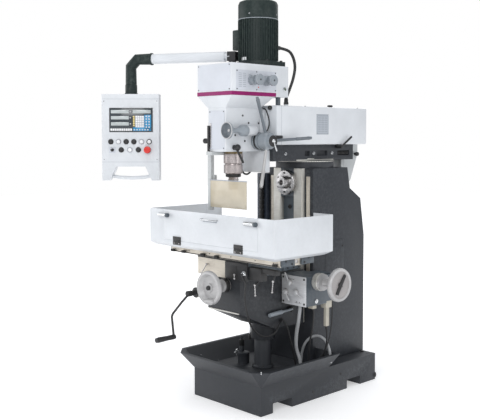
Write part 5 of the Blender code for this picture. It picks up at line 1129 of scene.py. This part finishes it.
def dress_table():
    body = "table_body"
    keep(casting("table", 0.0015), "table_skin", body, SCRAPED, "table")
    keep(casting("table_leadscrew", 0), "table_leadscrew_skin", body, STEEL, "table_leadscrew")
    # A black strip along the table front where the dog groove runs: painted shade of the groove.
    keep(block((-0.419, -0.501, 0.788), (0.419, -0.499, 0.7925), 0.0004), "dog_groove_shade", body, OXIDE)
    for k, x in enumerate((-0.2704, -0.0999, 0.0673, 0.2467, 0.3756), 1):
        keep(cap_screw((x, -0.5, 0.8035), -Y, 0.0032, 0.0016), f"table_front_screw_{k}", body, OXIDE)
    for k, x in enumerate((-0.402, -0.309, -0.148, -0.039, 0.392), 1):
        keep(joined(block((x - 0.014, -0.514, 0.7875), (x + 0.014, -0.5003, 0.801), 0.002),
                    cap_screw((x, -0.514, 0.7945), -Y, 0.005, 0.004)), f"table_dog_{k}", body, OXIDE)
    for side, name in ((-1, "left"), (1, "right")):
        left, right = side * 0.4255 - 0.006, side * 0.4255 + 0.006
        keep(joined(block((left, -0.497, 0.829), (right, -0.263, 0.844), 0.002),
                    block((left, -0.497, 0.788), (right, -0.4045, 0.832), 0.002),
                    block((left, -0.3555, 0.788), (right, -0.263, 0.832), 0.002)), f"table_end_bracket_{name}",
             body, SLATE)
        bolts = ((-0.47, 0.816), (-0.38, 0.8365), (-0.305, 0.82), (-0.425, 0.798), (-0.335, 0.798))
        screws(f"end_bracket_{name}_bolt", [(side * 0.4315, y, z) for y, z in bolts], side * X, 0.0055, 0.003,
               body)
    keep(casting("splash_guard", 0.0008), "splash_guard_skin", body, WHITE, "splash_guard")
    keep(casting("splash_door", 0.001), "splash_door_skin", "door", WHITE, "splash_door")
    for name, x in (("left", -0.249), ("right", 0.231)):
        keep(block((x - 0.032, -0.605, 0.8455), (x + 0.032, -0.6008, 0.864), 0.001), f"door_hinge_leaf_{name}",
             body, OXIDE)
        keep(rod((x - 0.032, -0.6012, 0.8681), (x + 0.032, -0.6012, 0.8681), 0.0038, sides=16),
             f"door_hinge_pin_{name}", body, BLACK, slot="steel")
        keep(block((x - 0.032, -0.605, 0.8722), (x + 0.032, -0.6008, 0.89), 0.001), f"door_hinge_flap_{name}",
             "door", OXIDE)
        pair = [cap_screw((x + side * 0.02, -0.605, 0.854), -Y, 0.0035, 0.0012) for side in (-1, 1)]
        keep(joined(*pair), f"door_hinge_screws_{name}", body, STEEL)
    for name, near, far in (("left", -0.394, -0.315), ("right", 0.284, 0.368)):
        side = 1 if near > 0 else -1
        keep(joined(rod((near, -0.612, 1.001), (far - 0.016, -0.612, 1.001), 0.0105, 0.001),
                    block((near + 0.008, -0.61, 0.99), (far - 0.022, -0.601, 1.012), 0.001)),
             f"door_bolt_{name}", "door" if side > 0 else body, CHROME)
        keep(joined(rod((far - 0.0155, -0.612, 1.001), (far, -0.612, 1.001), 0.012, 0.0015),
                    block((far - 0.014, -0.612, 0.992), (far - 0.002, -0.601, 1.01), 0.001)),
             f"door_catch_{name}", body if side > 0 else "door", SLATE, slot="steel")
    keep(pipe([(-0.04, -0.6005, 1.0), (-0.04, -0.614, 1.0), (-0.034, -0.618, 0.9985), (0.072, -0.618, 0.9985),
               (0.078, -0.614, 1.0), (0.078, -0.6005, 1.0)], 0.0042, curved=False), "door_handle", "door",
         CHROME)
    # A grey strip on the door just under the handle bar: painted shadow of the handle.
    keep(block((-0.036, -0.602, 0.987), (0.074, -0.6009, 0.9925), 0.0004), "door_handle_shadow", "door", LABEL,
         slot="steel")
    keep(tray_lip(), "guard_lower_lip", body, WHITE)


def tray_lip():
    """The folded edge under the guard: four sloping walls that draw in to the table."""
    outer, inner, thick = (0.4855, -0.6005, -0.1815), (0.456, -0.57, -0.212), 0.0025
    high, low = 0.845, 0.827
    walls = []
    for grow in (0.0, -thick):
        (x1, f1, b1), (x2, f2, b2) = ((x + grow, f - grow, b + grow) for x, f, b in (outer, inner))
        walls.append(([(-x1, f1, high), (x1, f1, high), (x1, b1, high), (-x1, b1, high)],
                      [(-x2, f2, low), (x2, f2, low), (x2, b2, low), (-x2, b2, low)]))
    points = [corner for wall in walls for ring in wall for corner in ring]
    faces = []
    for k in range(4):
        n = (k + 1) % 4
        faces += [(k, n, 4 + n, 4 + k), (8 + n, 8 + k, 12 + k, 12 + n), (n, k, 8 + k, 8 + n),
                  (4 + k, 4 + n, 12 + n, 12 + k)]
    data = bpy.data.meshes.new("lip")
    data.from_pydata(points, [], faces)
    obj = bpy.data.objects.new("lip", data)
    bpy.context.scene.collection.objects.link(obj)
    choose(obj)
    bpy.ops.object.mode_set(mode="EDIT")
    bpy.ops.mesh.select_all(action="SELECT")
    bpy.ops.mesh.normals_make_consistent(inside=False)
    bpy.ops.object.mode_set(mode="OBJECT")
    return obj


# ---- loose hoses and cables ----

def hose(name, points, radius, body, material, other=None, replaced=()):
    """A free hose along points, kept on its body. Where it ends on another body, it is only named, finished and
    set in place, and fixed to no body."""
    obj = pipe(points, radius, resolution=3)
    if other:
        obj.name = obj.data.name = name
        obj.data.materials.clear()
        obj.data.materials.append(material)
        smooth(obj)
        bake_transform(obj)
    else:
        keep(obj, name, body, material, *replaced, slot="black_plastic")


def dress_hoses():
    loop = [(0.1, 0.004, 0.166), (0.1075, 0.006, 0.2236), (0.132, 0.008, 0.278), (0.168, 0.018, 0.313),
            (0.208, 0.03, 0.323), (0.248, 0.034, 0.309), (0.276, 0.034, 0.274), (0.289, 0.034, 0.232),
            (0.2931, 0.034, 0.1876)]
    hose("coolant_return_hose", loop, 0.0075, "frame", GREY_HOSE)
    hose("feed_conduit", [(0.205, -0.12, 0.52), (0.2, -0.118, 0.485), (0.18, -0.108, 0.41),
                          (0.152, -0.092, 0.335), (0.146, -0.084, 0.265), (0.165, -0.078, 0.205),
                          (0.172, -0.076, 0.16)], 0.0095, "knee", GREY_HOSE, "frame")
    hose("feed_cable", [(0.286, -0.105, 0.508), (0.288, -0.103, 0.47), (0.276, -0.098, 0.4),
                        (0.25, -0.09, 0.32), (0.236, -0.084, 0.25), (0.232, -0.08, 0.19),
                        (0.232, -0.078, 0.158)], 0.0052, "knee", RUBBER, "frame")
    hose("limit_cable", [(0.282, 0.009, 0.52), (0.282, 0.009, 0.45), (0.283, 0.009, 0.38), (0.284, 0.01, 0.345),
                         (0.278, 0.014, 0.29), (0.256, 0.018, 0.235), (0.245, 0.02, 0.19),
                         (0.243, 0.02, 0.158)], 0.0045, "knee", RUBBER, "frame")
    hose("switch_cable", [(0.183, -0.526, 0.7315), (0.2, -0.548, 0.73), (0.222, -0.558, 0.717),
                          (0.231, -0.552, 0.69), (0.218, -0.541, 0.66), (0.203, -0.53, 0.62),
                          (0.192, -0.51, 0.5548), (0.166, -0.46, 0.4667), (0.1588, -0.4, 0.4018),
                          (0.1588, -0.335, 0.374), (0.164, -0.275, 0.383), (0.1492, -0.225, 0.4183),
                          (0.1326, -0.185, 0.4348)], 0.0052, "saddle_body", RUBBER, "knee")
    hose("drop_cable", [(0.1326, -0.185, 0.4348), (0.144, -0.18, 0.428), (0.1521, -0.165, 0.393),
                        (0.1506, -0.14, 0.324), (0.1502, -0.11, 0.2374), (0.155, -0.094, 0.158)], 0.0052,
         "knee", RUBBER, "frame")
    hose("side_cable", [(0.296, 0.04, 0.5265), (0.3013, 0.034, 0.4503), (0.3007, 0.015, 0.3398),
                        (0.2755, -0.01, 0.2425), (0.2277, -0.04, 0.1902), (0.198, -0.052, 0.158)], 0.0036,
         "knee", RUBBER, "frame")
    keep(joined(block((0.1248, -0.196, 0.425), (0.129, -0.174, 0.445), 0.001),
                rod((0.128, -0.185, 0.4348), (0.136, -0.185, 0.4348), 0.0075)), "cable_clip", "knee", OXIDE)


dress_base()
dress_column()
dress_pedestal()
dress_horizontal_spindle()
dress_ram()
dress_cables()
dress_head()
dress_spindle()
dress_motor()
dress_head_controls()
dress_pendant()
dress_knee()
dress_wheels()
dress_saddle()
dress_table()
dress_hoses()

for node in ("motor_rotor", "spindle_drive_gear", "spindle_shaft"):
    NODES[node].data.materials.clear()
    NODES[node].data.materials.append(STEEL)
deselect()
